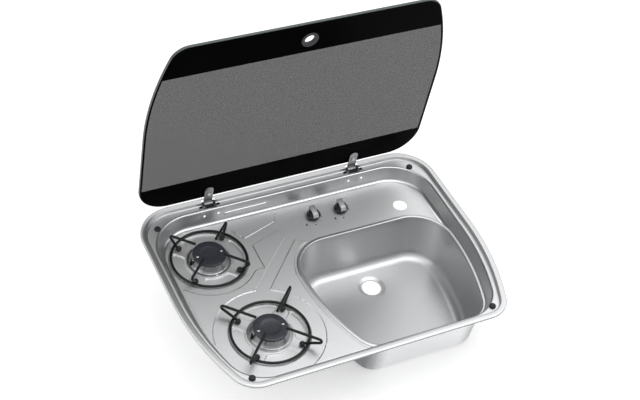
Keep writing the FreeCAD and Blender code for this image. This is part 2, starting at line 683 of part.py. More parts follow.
def burner_cap(name):
    """Enamelled cap with a shallow dish and a stepped edge."""
    x, y = BURNERS[name]
    points = [(0.0, CAP_BASE), (30.2, CAP_BASE), (CAP_RAD, CAP_BASE + 0.6), (CAP_RAD, CAP_TOP - 1.4),
              (30.2, CAP_TOP - 0.6), (28.2, CAP_TOP - 0.1), (26.0, CAP_TOP), (20.0, CAP_TOP - 0.1),
              (18.0, CAP_TOP - 0.6), (14.0, CAP_TOP - 1.3), (7.0, CAP_TOP - 1.7), (0.0, CAP_TOP - 1.8)]
    cap = revolve(points, x, y)
    for s in (-1, 1):
        cap = cap.cut(rod(x + s * CAP_SCREW, y, CAP_BASE - 1, CAP_TOP + 1, 1.6))
        cap = cap.cut(rod(x + s * CAP_SCREW, y, CAP_TOP - 1.4, CAP_TOP + 1, 3.0))
    return cap


def cap_screws(name):
    """Two bright screws that hold a cap on its burner."""
    x, y = BURNERS[name]
    seat = CAP_TOP - 1.4
    points = [(0.0, -26.5), (1.5, -26.5), (1.5, seat), (2.8, seat), (2.7, seat + 1.0), (1.6, seat + 1.5),
              (0.0, seat + 1.5)]
    return Part.makeCompound([revolve(points, x + s * CAP_SCREW, y) for s in (-1, 1)])


def burner_screws():
    """Small screws that fix the burner flanges to the wells."""
    screws = []
    top = PAD_Z + FLANGE
    points = [(0.0, PAD_Z - 5.0), (1.5, PAD_Z - 5.0), (1.5, top), (2.3, top), (2.2, top + 0.7), (1.2, top + 1.2),
              (0.0, top + 1.2)]
    for x, y in BURNERS.values():
        screws += [revolve(points, x, y + s * BURNER_SCREW) for s in (-1, 1)]
    return Part.makeCompound(screws)


def thermocouple(name):
    """Flame probe beside a burner, with a thinner tip that reaches the flame."""
    x, y = BURNERS[name]
    points = [(0.0, -50.0), (2.2, -50.0), (2.2, -36.0), (2.4, -36.0), (2.4, -25.0), (1.7, -24.0), (1.7, -19.6),
              (1.2, -18.6), (0.0, -18.4)]
    return revolve(points, x + PROBE_X, y)


def jet_holder(name):
    """Holder below a burner: an open-sided cup with a side boss for the supply tube."""
    x, y = BURNERS[name]
    points = [(10.0, BURNER_BASE), (17.0, BURNER_BASE), (17.0, HOLDER_BASE), (0.0, HOLDER_BASE), (0.0, -66.0),
              (10.0, -66.0)]
    cup = revolve(points, x, y)
    boss = Part.makeCylinder(6.0, 12.0, V(x + 12.0, y, GAS_Z), V(1, 0, 0))
    window = box(x - 30.0, x - 6.0, y - 6.0, y + 6.0, -63.0, -55.0)
    holder = fuse([cup, boss.cut(rod(x, y, -66.0, BURNER_BASE, 10.0))]).cut(window)
    return holder.cut(Part.makeCylinder(2.0, 20.0, V(x + 8.0, y, GAS_Z), V(1, 0, 0)))


def jet(name):
    """Brass jet that points up into the burner's throat."""
    x, y = BURNERS[name]
    nut = hexagon(x, y, -66.0, -61.0, 9.0)
    nose = revolve([(0.0, -61.0), (3.4, -61.0), (3.4, -57.0), (1.8, -55.0), (0.0, -55.0)], x, y)
    return fuse([nut, nose])


def pan_support(name):
    """Wire pan support: a round ring with four hairpin fingers that reach over the burner cap."""
    x, y = BURNERS[name]
    ring = Part.makeTorus(RING_RAD, WIRE_RAD, V(x, y, RING_Z), UP)
    flat = [(FINGER_INNER, FINGER_Z), (FINGER_CORNER[name], FINGER_Z), (65.8, -25.2), (FOOT_R, FOOT_Z)]
    fingers = []
    for i in range(4):
        turn = math.radians(45.0 + 90.0 * i)
        c, s = math.cos(turn), math.sin(turn)
        spots = [V(x + r * c, y + r * s, z) for r, z in flat]
        fingers.append(pipe(spots, FINGER_BEND, WIRE_RAD))
    return fuse([ring] + fingers)


def support_feet(name, support):
    """Rubber feet on the ends of the fingers, flat where they stand on the pads of the well."""
    x, y = BURNERS[name]
    feet = []
    for i in range(4):
        turn = math.radians(45.0 + 90.0 * i)
        spot = V(x + FOOT_R * math.cos(turn), y + FOOT_R * math.sin(turn), FOOT_Z)
        ball = Part.makeSphere(FOOT_RAD, spot)
        ball = ball.cut(box(spot.x - 9, spot.x + 9, spot.y - 9, spot.y + 9, PAD_Z - 9, PAD_Z))
        foot = ball.cut(support)
        feet.append(sorted(foot.Solids, key=lambda s: -s.Volume)[0])
    return Part.makeCompound(feet)


def tap_body(side):
    """Brass gas tap under the deck, bored for the spindle and plunger, with rear inlet and front outlet bosses."""
    x, y = KNOBS[side]
    top = DECK_Z - SHEET
    plate = box(x - 14.0, x + 14.0, y - 11.0, y + 11.0, top - 3.0, top)
    barrel = rod(x, y, TAP_BASE, top - 3.0, TAP_RAD)
    inlet = box(x - 6.0, x + 6.0, y, RAIL_Y - RAIL / 2.0, GAS_Z - 6.0, GAS_Z + 6.0)
    outlet = Part.makeCylinder(6.0, 18.0, V(x, y, GAS_Z), V(0, -1, 0))
    body = fuse([plate, barrel, inlet, outlet])
    body = body.cut(rod(x, y, SPINDLE_BASE, top + 1, SPINDLE_RAD + RUN_FIT))
    body = body.cut(rod(x, y, SPINDLE_BASE - 14.0, SPINDLE_BASE + 1, PLUNGER_RAD + RUN_FIT))
    body = body.cut(Part.makeCylinder(1.6, 8.0, V(x, y - 10.5, GAS_Z), V(0, -1, 0)))
    for s in (-1, 1):
        body = body.cut(rod(x + s * TAP_SCREW, y, top - 4, top + 1, SCREW_HOLE))
    return body.removeSplitter()


def tap_screws():
    """Low screws through the deck, under each knob, that hold the taps."""
    screws = []
    end = DECK_Z - SHEET - 2.9
    points = [(0.0, end), (1.5, end), (1.5, DECK_Z), (2.6, DECK_Z), (2.4, DECK_Z + 0.7), (0.0, DECK_Z + 0.7)]
    for x, y in KNOBS.values():
        screws += [revolve(points, x + s * TAP_SCREW, y) for s in (-1, 1)]
    return Part.makeCompound(screws)


def spindle(side):
    """Spindle that turns in the tap and carries the knob; its top has a flat."""
    x, y = KNOBS[side]
    lift = SPINDLE_BASE + KNOB_PUSH + 0.2
    shaft = rod(x, y, lift, -18.0, SPINDLE_RAD)
    return shaft.cut(box(x - 5.0, x + 5.0, y - 5.0, y - 2.6, -25.0, -17.0))


def plunger(side):
    """Push rod under a spindle that opens the safety valve."""
    x, y = KNOBS[side]
    top = SPINDLE_BASE + KNOB_PUSH + 0.15
    return rod(x, y, top - 13.0, top, PLUNGER_RAD)


def grip_shape(x, y):
    """Wedge bar of a knob: high at the rear, sloping down at the front, rounded to the knob's edge."""
    half = GRIP_WIDTH / 2.0
    side = [(13.0, -23.6), (13.0, -13.4), (12.2, -12.4), (-3.0, -13.0), (-5.0, -13.7), (-12.2, -19.4), (-13.0, -20.8),
            (-13.0, -23.6)]
    spots = [V(x - half, y + a, z) for a, z in side]
    bar = Part.Face(Part.makePolygon(spots + [spots[0]])).extrude(V(GRIP_WIDTH, 0, 0))
    long_edges = [e for e in bar.Edges if e.BoundBox.XLength < 0.01 and e.CenterOfMass.z > -22.0]
    bar = bar.makeChamfer(0.7, long_edges)
    return bar.common(rod(x, y, -30.0, -5.0, 12.9))


def knob(side):
    """Round black knob: a flat skirt with a shoulder that holds the bar, bored for the spindle."""
    x, y = KNOBS[side]
    points = [(0.0, KNOB_BASE), (13.0, KNOB_BASE), (KNOB_RAD, KNOB_BASE + 0.5), (KNOB_RAD, -24.8), (12.8, -23.8),
              (11.6, -23.2), (10.4, -20.0), (9.0, -18.2), (7.0, -17.4), (0.0, -17.4)]
    body = revolve(points, x, y)
    body = body.cut(grip_shape(x, y))
    bore = rod(x, y, KNOB_BASE - 1, -18.0, SPINDLE_RAD + SEAT_FIT)
    return body.cut(bore.cut(box(x - 6.0, x + 6.0, y - 6.0, y - 2.6 - SEAT_FIT, -25.0, -17.0)))


def knob_grip(side):
    """Metal-finished bar set into a knob."""
    x, y = KNOBS[side]
    bar = grip_shape(x, y)
    return bar.cut(rod(x, y, -30.0, -18.0, SPINDLE_RAD + SEAT_FIT))


def gas_rail():
    """Square gas rail behind the taps."""
    y0, y1 = RAIL_Y - RAIL / 2.0, RAIL_Y + RAIL / 2.0
    z0, z1 = GAS_Z - RAIL / 2.0, GAS_Z + RAIL / 2.0
    tube = box(18.0, 134.0, y0, y1, z0, z1)
    edges = [e for e in tube.Edges if e.BoundBox.XLength > 50.0]
    return tube.makeFillet(1.5, edges)


def gas_inlet():
    """Inlet elbow's straight tail with its nut, for an 8 mm gas pipe."""
    tail = Part.makeCylinder(INLET_RAD, 52.0, V(134.0, RAIL_Y, GAS_Z), V(1, 0, 0))
    nut = hexagon(0.0, 0.0, 0.0, 12.0, 14.0)
    nut.rotate(V(0, 0, 0), V(0, 1, 0), 90)
    nut.translate(V(134.0, RAIL_Y, GAS_Z))
    return fuse([tail, nut])


def supply_tube(name):
    """Bent gas tube from a tap's outlet to its burner's jet holder."""
    bx, by = BURNERS[name]
    side = "left" if name == "rear" else "right"
    tx, ty = KNOBS[side]
    start = V(tx, ty - 18.0, GAS_Z)
    if name == "rear":
        spots = [start, V(tx, by, GAS_Z), V(bx + 24.0, by, GAS_Z)]
    else:
        spots = [start, V(tx, 91.5, GAS_Z), V(-80.0, 91.5, GAS_Z), V(-80.0, by, GAS_Z), V(bx + 24.0, by, GAS_Z)]
    return pipe(spots, 10.0, TUBE_RAD)


def nut_on(spot, way):
    """Six-sided nut with a round bore, standing on a spot and pointing along a way."""
    nut = hexagon(0.0, 0.0, 0.0, 7.0, 12.0).cut(rod(0.0, 0.0, -1.0, 8.0, TUBE_RAD + SEAT_FIT))
    nut.rotate(V(0, 0, 0), UP.cross(way), 90)
    nut.translate(spot)
    return nut


def tube_nuts():
    """Nuts at both ends of the two supply tubes."""
    nuts = []
    for x, y in KNOBS.values():
        nuts.append(nut_on(V(x, y - 18.0, GAS_Z), V(0, -1, 0)))
    for x, y in BURNERS.values():
        nuts.append(nut_on(V(x + 24.0, y, GAS_Z), V(1, 0, 0)))
    return Part.makeCompound(nuts)


def thermo_lead(name):
    """Thin lead from a flame probe to the foot of its tap."""
    bx, by = BURNERS[name]
    x = bx + PROBE_X
    side = "left" if name == "rear" else "right"
    tx, ty = KNOBS[side]
    low = -84.0 if name == "rear" else -91.0
    way = by if name == "rear" else 122.0
    spots = [V(x, by, -50.0), V(x, by, low)]
    if name == "front":
        spots.append(V(x, way, low))
    spots += [V(tx, way, low), V(tx, ty, low), V(tx, ty, TAP_BASE)]
    return pipe(spots, 7.0, LEAD_RAD)


def build():
    """Every piece by name."""
    parts = {"top_pressing": top_pressing(), "sink_bowl": sink_bowl(), "glass_lid": glass_lid(),
             "finger_grommet": finger_grommet(), "leaf_pads": leaf_pads(), "lid_screws": lid_screws(),
             "lid_caps": lid_caps(), "hinge_screws": hinge_screws(), "lid_buffers": lid_buffers(),
             "burner_screws": burner_screws(), "tap_screws": tap_screws(), "gas_rail": gas_rail(),
             "gas_inlet": gas_inlet(), "tube_nuts": tube_nuts()}
    for side, sign in (("left", -1), ("right", 1)):
        parts["hinge_arm_" + side] = hinge_arm(sign)
        parts["hinge_block_" + side] = hinge_block(sign)
        parts["hinge_pin_" + side] = hinge_pin(sign)
        parts["tap_body_" + side] = tap_body(side)
        parts["spindle_" + side] = spindle(side)
        parts["plunger_" + side] = plunger(side)
        parts["knob_" + side] = knob(side)
        parts["knob_grip_" + side] = knob_grip(side)
    for name in ("front", "rear"):
        support = pan_support(name)
        parts["burner_body_" + name] = burner_body(name)
        parts["burner_cap_" + name] = burner_cap(name)
        parts["cap_screws_" + name] = cap_screws(name)
        parts["thermocouple_" + name] = thermocouple(name)
        parts["jet_holder_" + name] = jet_holder(name)
        parts["jet_" + name] = jet(name)
        parts["pan_support_" + name] = support
        parts["support_feet_" + name] = support_feet(name, support)
        parts["supply_tube_" + name] = supply_tube(name)
        parts["thermo_lead_" + name] = thermo_lead(name)
    return parts


for node, shape in build().items():
    print(node, shape.ShapeType, len(shape.Solids), shape.isValid(), round(shape.Volume, 1), len(shape.Faces))
    shape.exportStep(os.path.join("parts", node + ".step"))
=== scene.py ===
"""Looks of a drop-in gas hob and sink unit with a hinged glass lid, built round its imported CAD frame.

Sizes are in millimetres and become metres where a mesh is made. The frame is the part's own: origin at the
middle of the plan on the worktop, +X to the right, +Y to the rear, +Z up, with the lid open.
"""

import json
import logging
import math
from dataclasses import dataclass, field
from enum import Enum, IntEnum
from typing import Callable, Iterable, Sequence, Union

import bmesh
import bpy
import numpy as np
from mathutils import Matrix, Vector
from mathutils.geometry import delaunay_2d_cdt
from mathutils.kdtree import KDTree


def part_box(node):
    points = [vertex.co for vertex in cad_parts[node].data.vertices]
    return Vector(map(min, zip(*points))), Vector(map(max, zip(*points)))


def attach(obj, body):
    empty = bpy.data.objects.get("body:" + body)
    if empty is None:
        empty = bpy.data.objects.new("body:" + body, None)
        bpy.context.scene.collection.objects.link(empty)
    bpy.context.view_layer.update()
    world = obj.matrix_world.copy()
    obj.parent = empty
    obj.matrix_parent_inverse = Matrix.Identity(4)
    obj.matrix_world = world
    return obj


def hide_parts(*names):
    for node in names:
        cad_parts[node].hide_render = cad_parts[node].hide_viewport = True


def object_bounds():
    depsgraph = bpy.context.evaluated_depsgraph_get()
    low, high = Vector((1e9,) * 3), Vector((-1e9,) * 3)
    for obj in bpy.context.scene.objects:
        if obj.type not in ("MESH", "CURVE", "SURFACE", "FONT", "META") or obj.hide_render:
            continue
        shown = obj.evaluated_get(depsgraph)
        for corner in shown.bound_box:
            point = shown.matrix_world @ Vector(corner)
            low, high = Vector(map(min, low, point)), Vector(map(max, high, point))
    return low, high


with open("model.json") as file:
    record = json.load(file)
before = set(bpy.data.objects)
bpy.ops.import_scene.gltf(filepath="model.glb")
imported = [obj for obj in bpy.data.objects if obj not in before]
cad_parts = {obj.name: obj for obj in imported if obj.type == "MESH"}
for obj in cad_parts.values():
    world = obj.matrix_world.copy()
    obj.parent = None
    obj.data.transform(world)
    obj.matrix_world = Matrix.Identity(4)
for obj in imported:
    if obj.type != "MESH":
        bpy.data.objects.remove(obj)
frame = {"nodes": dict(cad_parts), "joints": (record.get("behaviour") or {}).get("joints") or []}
CAD_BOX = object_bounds()

LOG = logging.getLogger("hob_and_sink_unit")
MM = 0.001
LID_JOINT = next(joint for joint in frame["joints"] if joint["name"] == "lid_hinge")
LID_OPEN = math.radians(LID_JOINT["range_deg"][1])
LID_AXIS = Vector(LID_JOINT["pos_m"])

Pair = tuple[float, float]
Field = Callable[[np.ndarray], np.ndarray]


class Body(Enum):
    """Moving bodies of the part."""

    UNIT = "unit"
    LID = "lid"
    LEFT_PUSH = "left_push"
    LEFT_KNOB = "left_knob"
    RIGHT_PUSH = "right_push"
    RIGHT_KNOB = "right_knob"


class Slot(Enum):
    """Material slots of the record."""

    SATIN_STEEL = "satin_steel"
    BRIGHT_STEEL = "bright_steel"
    TINTED_GLASS = "tinted_glass"
    GREY_RUBBER = "grey_rubber"
    BLACK_RUBBER = "black_rubber"
    BLACK_PLASTIC = "black_plastic"
    BLACK_STEEL = "black_steel"
    CAST_ALUMINIUM = "cast_aluminium"
    BLACK_ENAMEL = "black_enamel"
    DARK_STEEL = "dark_steel"
    ZINC_STEEL = "zinc_steel"
    BRASS = "brass"
    COPPER = "copper"
    SILVER_FINISH = "silver_finish"


# Finishes


def linear(code: str) -> tuple[float, float, float, float]:
    """Turns an sRGB hex colour to linear red, green and blue with full alpha."""
    parts = [int(code[i:i + 2], 16) / 255.0 for i in (1, 3, 5)]
    red, green, blue = [c / 12.92 if c <= 0.04045 else ((c + 0.055) / 1.055) ** 2.4 for c in parts]
    return red, green, blue, 1.0


def add(tree: bpy.types.NodeTree, kind: str, values: Union[dict, None] = None, **settings) -> bpy.types.Node:
    """Adds one node with its settings and links.

    Args:
        tree: Node tree that takes the node.
        kind: Identifier of the node's type.
        values: For each input, by name or index, a constant or the output that feeds it.
        settings: Attributes of the node.

    Returns:
        The new node.
    """
    made = tree.nodes.new(kind)
    for name, value in settings.items():
        setattr(made, name, value)
    for key, value in (values or {}).items():
        if isinstance(value, bpy.types.NodeSocket):
            tree.links.new(value, made.inputs[key])
        else:
            made.inputs[key].default_value = value
    return made


@dataclass(frozen=True)
class Finish:
    """A surface finish whose tone, gloss and relief follow one fine grain."""

    name: str
    slot: Slot
    tone: str
    shade: str
    metallic: float
    gloss: Pair
    grain: tuple[float, float, float]
    relief: float = 0.0
    specular: float = 0.5
    alpha: float = 1.0
    detail: float = 3.0
    contrast: Pair = (0.3, 0.7)

    def material(self) -> bpy.types.Material:
        """Makes the material once.

        Returns:
            The material, new or made before.
        """
        made = bpy.data.materials.get(self.name)
        if made is not None:
            return made
        made = bpy.data.materials.new(self.name)
        made.use_nodes = True
        shader = made.node_tree.nodes["Principled BSDF"]
        shader.inputs["Metallic"].default_value = self.metallic
        shader.inputs["Specular IOR Level"].default_value = self.specular
        shader.inputs["Alpha"].default_value = self.alpha
        self.pattern(made.node_tree, shader)
        return made

    def pattern(self, tree: bpy.types.NodeTree, shader: bpy.types.Node) -> None:
        """Adds the grain to the shader.

        Args:
            tree: Node tree of the material.
            shader: Its Principled BSDF.
        """
        place = add(tree, "ShaderNodeTexCoord")
        noise = self.noise(tree, place.outputs["Object"])
        grain = add(tree, "ShaderNodeMapRange", {0: noise, 1: self.contrast[0], 2: self.contrast[1]})
        self.dress(tree, shader, grain.outputs[0])
        if self.relief > 0.0:
            bump = add(tree, "ShaderNodeBump", {"Height": grain.outputs[0], "Distance": self.relief * MM})
            tree.links.new(bump.outputs[0], shader.inputs["Normal"])

    def noise(self, tree: bpy.types.NodeTree, place: bpy.types.NodeSocket) -> bpy.types.NodeSocket:
        """Adds a noise as coarse as the grain.

        Args:
            tree: Node tree of the material.
            place: Place on the piece.

        Returns:
            The noise.
        """
        scale = [1.0 / (size * MM) for size in self.grain]
        spread = add(tree, "ShaderNodeMapping", {"Vector": place, "Scale": scale})
        made = add(tree, "ShaderNodeTexNoise", {"Vector": spread.outputs[0], "Scale": 1.0,
                                                "Detail": self.detail})
        return made.outputs[0]

    def dress(self, tree: bpy.types.NodeTree, shader: bpy.types.Node, share: bpy.types.NodeSocket) -> None:
        """Leads tone and gloss from their first value to their second as a share rises.

        Args:
            tree: Node tree of the material.
            shader: Its Principled BSDF.
            share: The share, from 0 to 1.
        """
        tone = add(tree, "ShaderNodeMix", {0: share, 6: linear(self.tone), 7: linear(self.shade)},
                   data_type="RGBA")
        gloss = add(tree, "ShaderNodeMapRange", {0: share, 3: self.gloss[0], 4: self.gloss[1]})
        tree.links.new(tone.outputs[2], shader.inputs["Base Color"])
        tree.links.new(gloss.outputs[0], shader.inputs["Roughness"])


@dataclass(frozen=True)
class BrushedSteel(Finish):
    """Steel brushed in one direction, which spreads reflections across the brush lines."""

    spread: float = 0.6
    grain_map: str = "brush"

    def pattern(self, tree: bpy.types.NodeTree, shader: bpy.types.Node) -> None:
        """Adds the grain and the direction of the brush lines.

        Args:
            tree: Node tree of the material.
            shader: Its Principled BSDF.
        """
        super().pattern(tree, shader)
        across = add(tree, "ShaderNodeTangent", direction_type="UV_MAP", uv_map=self.grain_map)
        tree.links.new(across.outputs[0], shader.inputs["Tangent"])
        shader.inputs["Anisotropic"].default_value = self.spread

    def lay_grain(self, mesh: bpy.types.Mesh) -> None:
        """Maps the brush lines on a mesh, along its length.

        Args:
            mesh: Finished mesh.
        """
        places = np.empty(len(mesh.vertices) * 3)
        mesh.vertices.foreach_get("co", places)
        corners = np.empty(len(mesh.loops), dtype=np.int32)
        mesh.loops.foreach_get("vertex_index", corners)
        layer = mesh.uv_layers.new(name=self.grain_map)
        layer.data.foreach_set("uv", places.reshape(-1, 3)[corners][:, 1::-1].ravel())


@dataclass(frozen=True)
class PaintedShadeSteel(Finish):
    """Deep-drawn steel with a painted shade: darker and duller towards the ends, standing in for the shadowed
    floor that they reflect.
    """

    middle: float = 112.0
    even: float = 72.0
    end: float = 114.0
    wander: float = 6.0
    detail: float = 2.0

    def pattern(self, tree: bpy.types.NodeTree, shader: bpy.types.Node) -> None:
        """Adds the painted shade along the length, darker and duller towards the ends, broken up by a soft
        grain.

        Args:
            tree: Node tree of the material.
            shader: Its Principled BSDF.
        """
        place = add(tree, "ShaderNodeTexCoord")
        noise = self.noise(tree, place.outputs["Object"])
        x = add(tree, "ShaderNodeSeparateXYZ", {0: place.outputs["Object"]}).outputs["X"]
        across = add(tree, "ShaderNodeMath", {0: x, 1: self.middle * MM}, operation="SUBTRACT")
        away = add(tree, "ShaderNodeMath", {0: across.outputs[0]}, operation="ABSOLUTE")
        wander = add(tree, "ShaderNodeMapRange", {0: noise, 3: -self.wander * MM, 4: self.wander * MM})
        reach = add(tree, "ShaderNodeMath", {0: away.outputs[0], 1: wander.outputs[0]})
        # Share of the painted shade: none near the middle, full at the ends, where it stands in for the
        # shadowed floor that they reflect
        drawn = add(tree, "ShaderNodeMapRange", {0: reach.outputs[0], 1: self.even * MM, 2: self.end * MM},
                    interpolation_type="SMOOTHSTEP")
        self.dress(tree, shader, drawn.outputs[0])


@dataclass(frozen=True)
class PrintedGlass(Finish):
    """Toughened glass with a black print: solid bands and borders round a field of small clear dots.

    The dots are drawn larger and softer than the real ones, which are too fine to show.
    """

    pitch: float = 3.0
    dot_share: float = 0.4
    dot_edge: Pair = (1.3, 0.7)
    screen_turn: float = 45.0
    clear: Pair = (0.095, 0.18)
    band_front: float = -141.5
    band_rear: float = 136.6
    border: float = 5.0
    side: float = 287.2
    bow: float = 507.2

    def pattern(self, tree: bpy.types.NodeTree, shader: bpy.types.Node) -> None:
        """Adds the print, drawn in the plan of the closed lid.

        Args:
            tree: Node tree of the material.
            shader: Its Principled BSDF.
        """
        turn = Matrix.Rotation(LID_OPEN, 3, "X")
        place = add(tree, "ShaderNodeTexCoord")
        closed = add(tree, "ShaderNodeMapping", {"Vector": place.outputs["Object"],
                                                 "Rotation": (LID_OPEN, 0, 0),
                                                 "Location": LID_AXIS - turn @ LID_AXIS})
        x, y, _ = add(tree, "ShaderNodeSeparateXYZ", {0: closed.outputs[0]}).outputs
        behind = add(tree, "ShaderNodeMath", {0: y, 1: self.band_front * MM}, operation="GREATER_THAN")
        before = add(tree, "ShaderNodeMath", {0: y, 1: self.band_rear * MM}, operation="LESS_THAN")
        across = add(tree, "ShaderNodeMath", {0: x}, operation="ABSOLUTE")
        reach = add(tree, "ShaderNodeMath", {0: across.outputs[0], 1: (self.bow - self.side) * MM})
        along = add(tree, "ShaderNodeMath", {0: y, 1: 0.0}, operation="MINIMUM")
        spoke = add(tree, "ShaderNodeCombineXYZ", {0: reach.outputs[0], 1: along.outputs[0]})
        bowed = add(tree, "ShaderNodeVectorMath", {0: spoke.outputs[0]}, operation="LENGTH")
        inside = add(tree, "ShaderNodeMath", {0: bowed.outputs["Value"], 1: (self.bow - self.border) * MM},
                     operation="LESS_THAN")
        screen = add(tree, "ShaderNodeMapping", {"Vector": closed.outputs[0],
                                                 "Rotation": (0, 0, math.radians(self.screen_turn)),
                                                 "Scale": [1.0 / (self.pitch * MM)] * 3})
        cell = add(tree, "ShaderNodeVectorMath", {0: screen.outputs[0]}, operation="FRACTION")
        middle = add(tree, "ShaderNodeVectorMath", {0: cell.outputs[0], 1: (0.5, 0.5, 0.0)},
                     operation="SUBTRACT")
        flat = add(tree, "ShaderNodeVectorMath", {0: middle.outputs[0], 1: (1.0, 1.0, 0.0)},
                   operation="MULTIPLY")
        away = add(tree, "ShaderNodeVectorMath", {0: flat.outputs[0]}, operation="LENGTH")
        dot = math.sqrt(self.dot_share / math.pi)
        clear = add(tree, "ShaderNodeMapRange", {0: away.outputs["Value"], 1: dot * self.dot_edge[0],
                                                 2: dot * self.dot_edge[1], 3: self.clear[0],
                                                 4: self.clear[1]})
        for mask in (behind, before, inside):
            clear = add(tree, "ShaderNodeMath", {0: clear.outputs[0], 1: mask.outputs[0]},
                        operation="MULTIPLY")
        alpha = add(tree, "ShaderNodeMath", {0: 1.0, 1: clear.outputs[0]}, operation="SUBTRACT")
        tone = add(tree, "ShaderNodeMix", {0: clear.outputs[0], 6: linear(self.tone), 7: linear(self.shade)},
                   data_type="RGBA")
        tree.links.new(tone.outputs[2], shader.inputs["Base Color"])
        tree.links.new(alpha.outputs[0], shader.inputs["Alpha"])
        shader.inputs["Roughness"].default_value = self.gloss[0]


# Satin stainless steel, rolled and lightly brushed along the length: soft, slightly streaked reflections.
# The brush lines are drawn coarser than the real ones so that they show.
SATIN_STEEL = BrushedSteel("satin stainless steel", Slot.SATIN_STEEL, "#e2e3e4", "#dbdcdd", 1.0, (0.41, 0.45),
                           (30.0, 0.8, 0.8))
# Steel of the rim, recess wall and panel edges, rubbed bright by the press tool, with crisper lines
PRESSED_STEEL = BrushedSteel("press-polished stainless steel", Slot.SATIN_STEEL, "#dfe0e1", "#dbdcdd", 1.0,
                             (0.29, 0.31), (40.0, 2.0, 2.0), spread=0.4)
# Foot of the rim's lip: a dull dark line of painted shade, standing in for the shadowed floor that it
# reflects
LIP_SHADE_STEEL = Finish("stainless steel with painted lip shade", Slot.SATIN_STEEL, "#7b7c7f", "#6c6d70", 1.0, (0.4, 0.5),
                       (2.0, 2.0, 2.0))
# Bowl steel, drawn and then mass-polished: duller and without a direction
BOWL_STEEL = Finish("drawn satin stainless steel", Slot.SATIN_STEEL, "#d0d1d2", "#cacbcc", 1.0, (0.34, 0.39),
                    (2.2, 2.2, 2.2))
# Outside of the bowl, as it left the die: bright, with soft-edged reflections, and duller towards the ends,
# where a painted shade darkens it in place of the shadowed floor that it reflects
DIE_STEEL_PAINTED_SHADE = PaintedShadeSteel("die-drawn stainless steel with painted end shade", Slot.SATIN_STEEL, "#e4e5e6", "#85878b", 1.0, (0.17, 0.3),
                       (12.0, 12.0, 40.0))
# Bright nickel plating on small pressed and turned pieces: clear, sharp reflections
BRIGHT_STEEL = Finish("bright nickel-plated steel", Slot.BRIGHT_STEEL, "#dcdcda", "#cfcfcc", 1.0,
                      (0.14, 0.22), (1.6, 1.6, 1.6))
# Barrelled nickel plating of the hinge leaves: greyer and softer
LEAF_STEEL = Finish("satin nickel-plated steel", Slot.BRIGHT_STEEL, "#a9aaad", "#a1a2a5", 1.0, (0.3, 0.36),
                    (3.0, 3.0, 3.0))
# Ceramic print on the inner face of toughened glass: deep black, grey where light comes through its dots
PRINTED_GLASS = PrintedGlass("screen-printed toughened glass", Slot.TINTED_GLASS, "#020203", "#39403c", 0.0,
                             (0.3, 0.3), (1.0, 1.0, 1.0), specular=0.012)
# Clear outer face of the glass: a faint film of gloss over the print
CLEAR_GLASS = Finish("polished toughened glass", Slot.TINTED_GLASS, "#0c0f0e", "#101312", 0.0, (0.03, 0.06),
                     (60.0, 60.0, 60.0), specular=1.0, alpha=0.16)
# Ground and polished glass edge: a pale line where light leaves the pane
GLASS_EDGE = Finish("polished glass edge", Slot.TINTED_GLASS, "#5d6465", "#4d5455", 0.0, (0.12, 0.2),
                    (3.0, 3.0, 3.0))
# Soft moulded rubber of the finger ring: dark grey with a faint bloom
GREY_RUBBER = Finish("moulded grey rubber", Slot.GREY_RUBBER, "#3b3c3f", "#333437", 0.0, (0.5, 0.65),
                     (1.4, 1.4, 1.4), 0.01)
# Moulded black rubber: matt, with a slightly uneven skin
BLACK_RUBBER = Finish("moulded black rubber", Slot.BLACK_RUBBER, "#1b1b1c", "#242425", 0.0, (0.5, 0.7),
                      (1.2, 1.2, 1.2), 0.015)
# Glass-filled nylon, spark-textured in the mould: even satin black
BLACK_NYLON = Finish("moulded black nylon", Slot.BLACK_PLASTIC, "#121213", "#1a1a1b", 0.0, (0.32, 0.45),
                     (0.9, 0.9, 0.9), 0.01)
# Blackened steel of the small screws: dark with a dull metal glint
BLACK_STEEL = Finish("blackened steel", Slot.BLACK_STEEL, "#2b2b2c", "#202021", 1.0, (0.3, 0.42),
                     (0.8, 0.8, 0.8))
# Turned and blasted aluminium of the burner: pale, softly glinting
CAST_ALUMINIUM = Finish("blasted cast aluminium", Slot.CAST_ALUMINIUM, "#bfc0c1", "#b2b3b4", 1.0,
                        (0.28, 0.36), (0.9, 0.9, 0.9), 0.002)
# Vitreous enamel on the burner cap: bluish black with a soft satin sheen
CAP_ENAMEL = Finish("satin vitreous enamel", Slot.BLACK_ENAMEL, "#303239", "#373940", 0.0, (0.3, 0.38),
                    (2.0, 2.0, 2.0), 0.006)
# Enamel on the support wire: blacker, and a little glossier where it ran round the wire
WIRE_ENAMEL = Finish("black enamelled wire", Slot.BLACK_ENAMEL, "#070708", "#0d0e0e", 0.0, (0.26, 0.38),
                     (3.0, 3.0, 3.0), 0.01, specular=0.4)
# Heat-darkened steel of the flame probe
PROBE_STEEL = Finish("heat-darkened steel", Slot.DARK_STEEL, "#2b2825", "#3a342e", 1.0, (0.3, 0.45),
                     (1.2, 1.2, 1.2))
# Straw-coloured tip of the flame probe, tempered by the flame
PROBE_TIP = Finish("straw-tempered steel", Slot.DARK_STEEL, "#5d4b35", "#483b2c", 1.0, (0.28, 0.4),
                   (1.0, 1.0, 1.0))
# Zinc-plated steel below the deck: cool grey with a mottled passivation
ZINC_STEEL = Finish("zinc-plated steel", Slot.ZINC_STEEL, "#b9bdc0", "#a3a8ac", 1.0, (0.3, 0.45),
                    (4.0, 4.0, 4.0))
# Turned brass, left plain
BRASS = Finish("turned brass", Slot.BRASS, "#caa75f", "#b08e4c", 1.0, (0.24, 0.36), (2.5, 2.5, 2.5))
# Drawn copper of the probe leads, a little browned
COPPER = Finish("drawn copper", Slot.COPPER, "#b87a55", "#9a6345", 1.0, (0.28, 0.4), (6.0, 6.0, 6.0))
# Vacuum-metallised plastic of the knob bars: pale satin metal look
SILVER_PLASTIC = Finish("metallised satin plastic", Slot.SILVER_FINISH, "#dadddf", "#d0d3d6", 1.0,
                        (0.36, 0.42), (0.8, 6.0, 0.8))
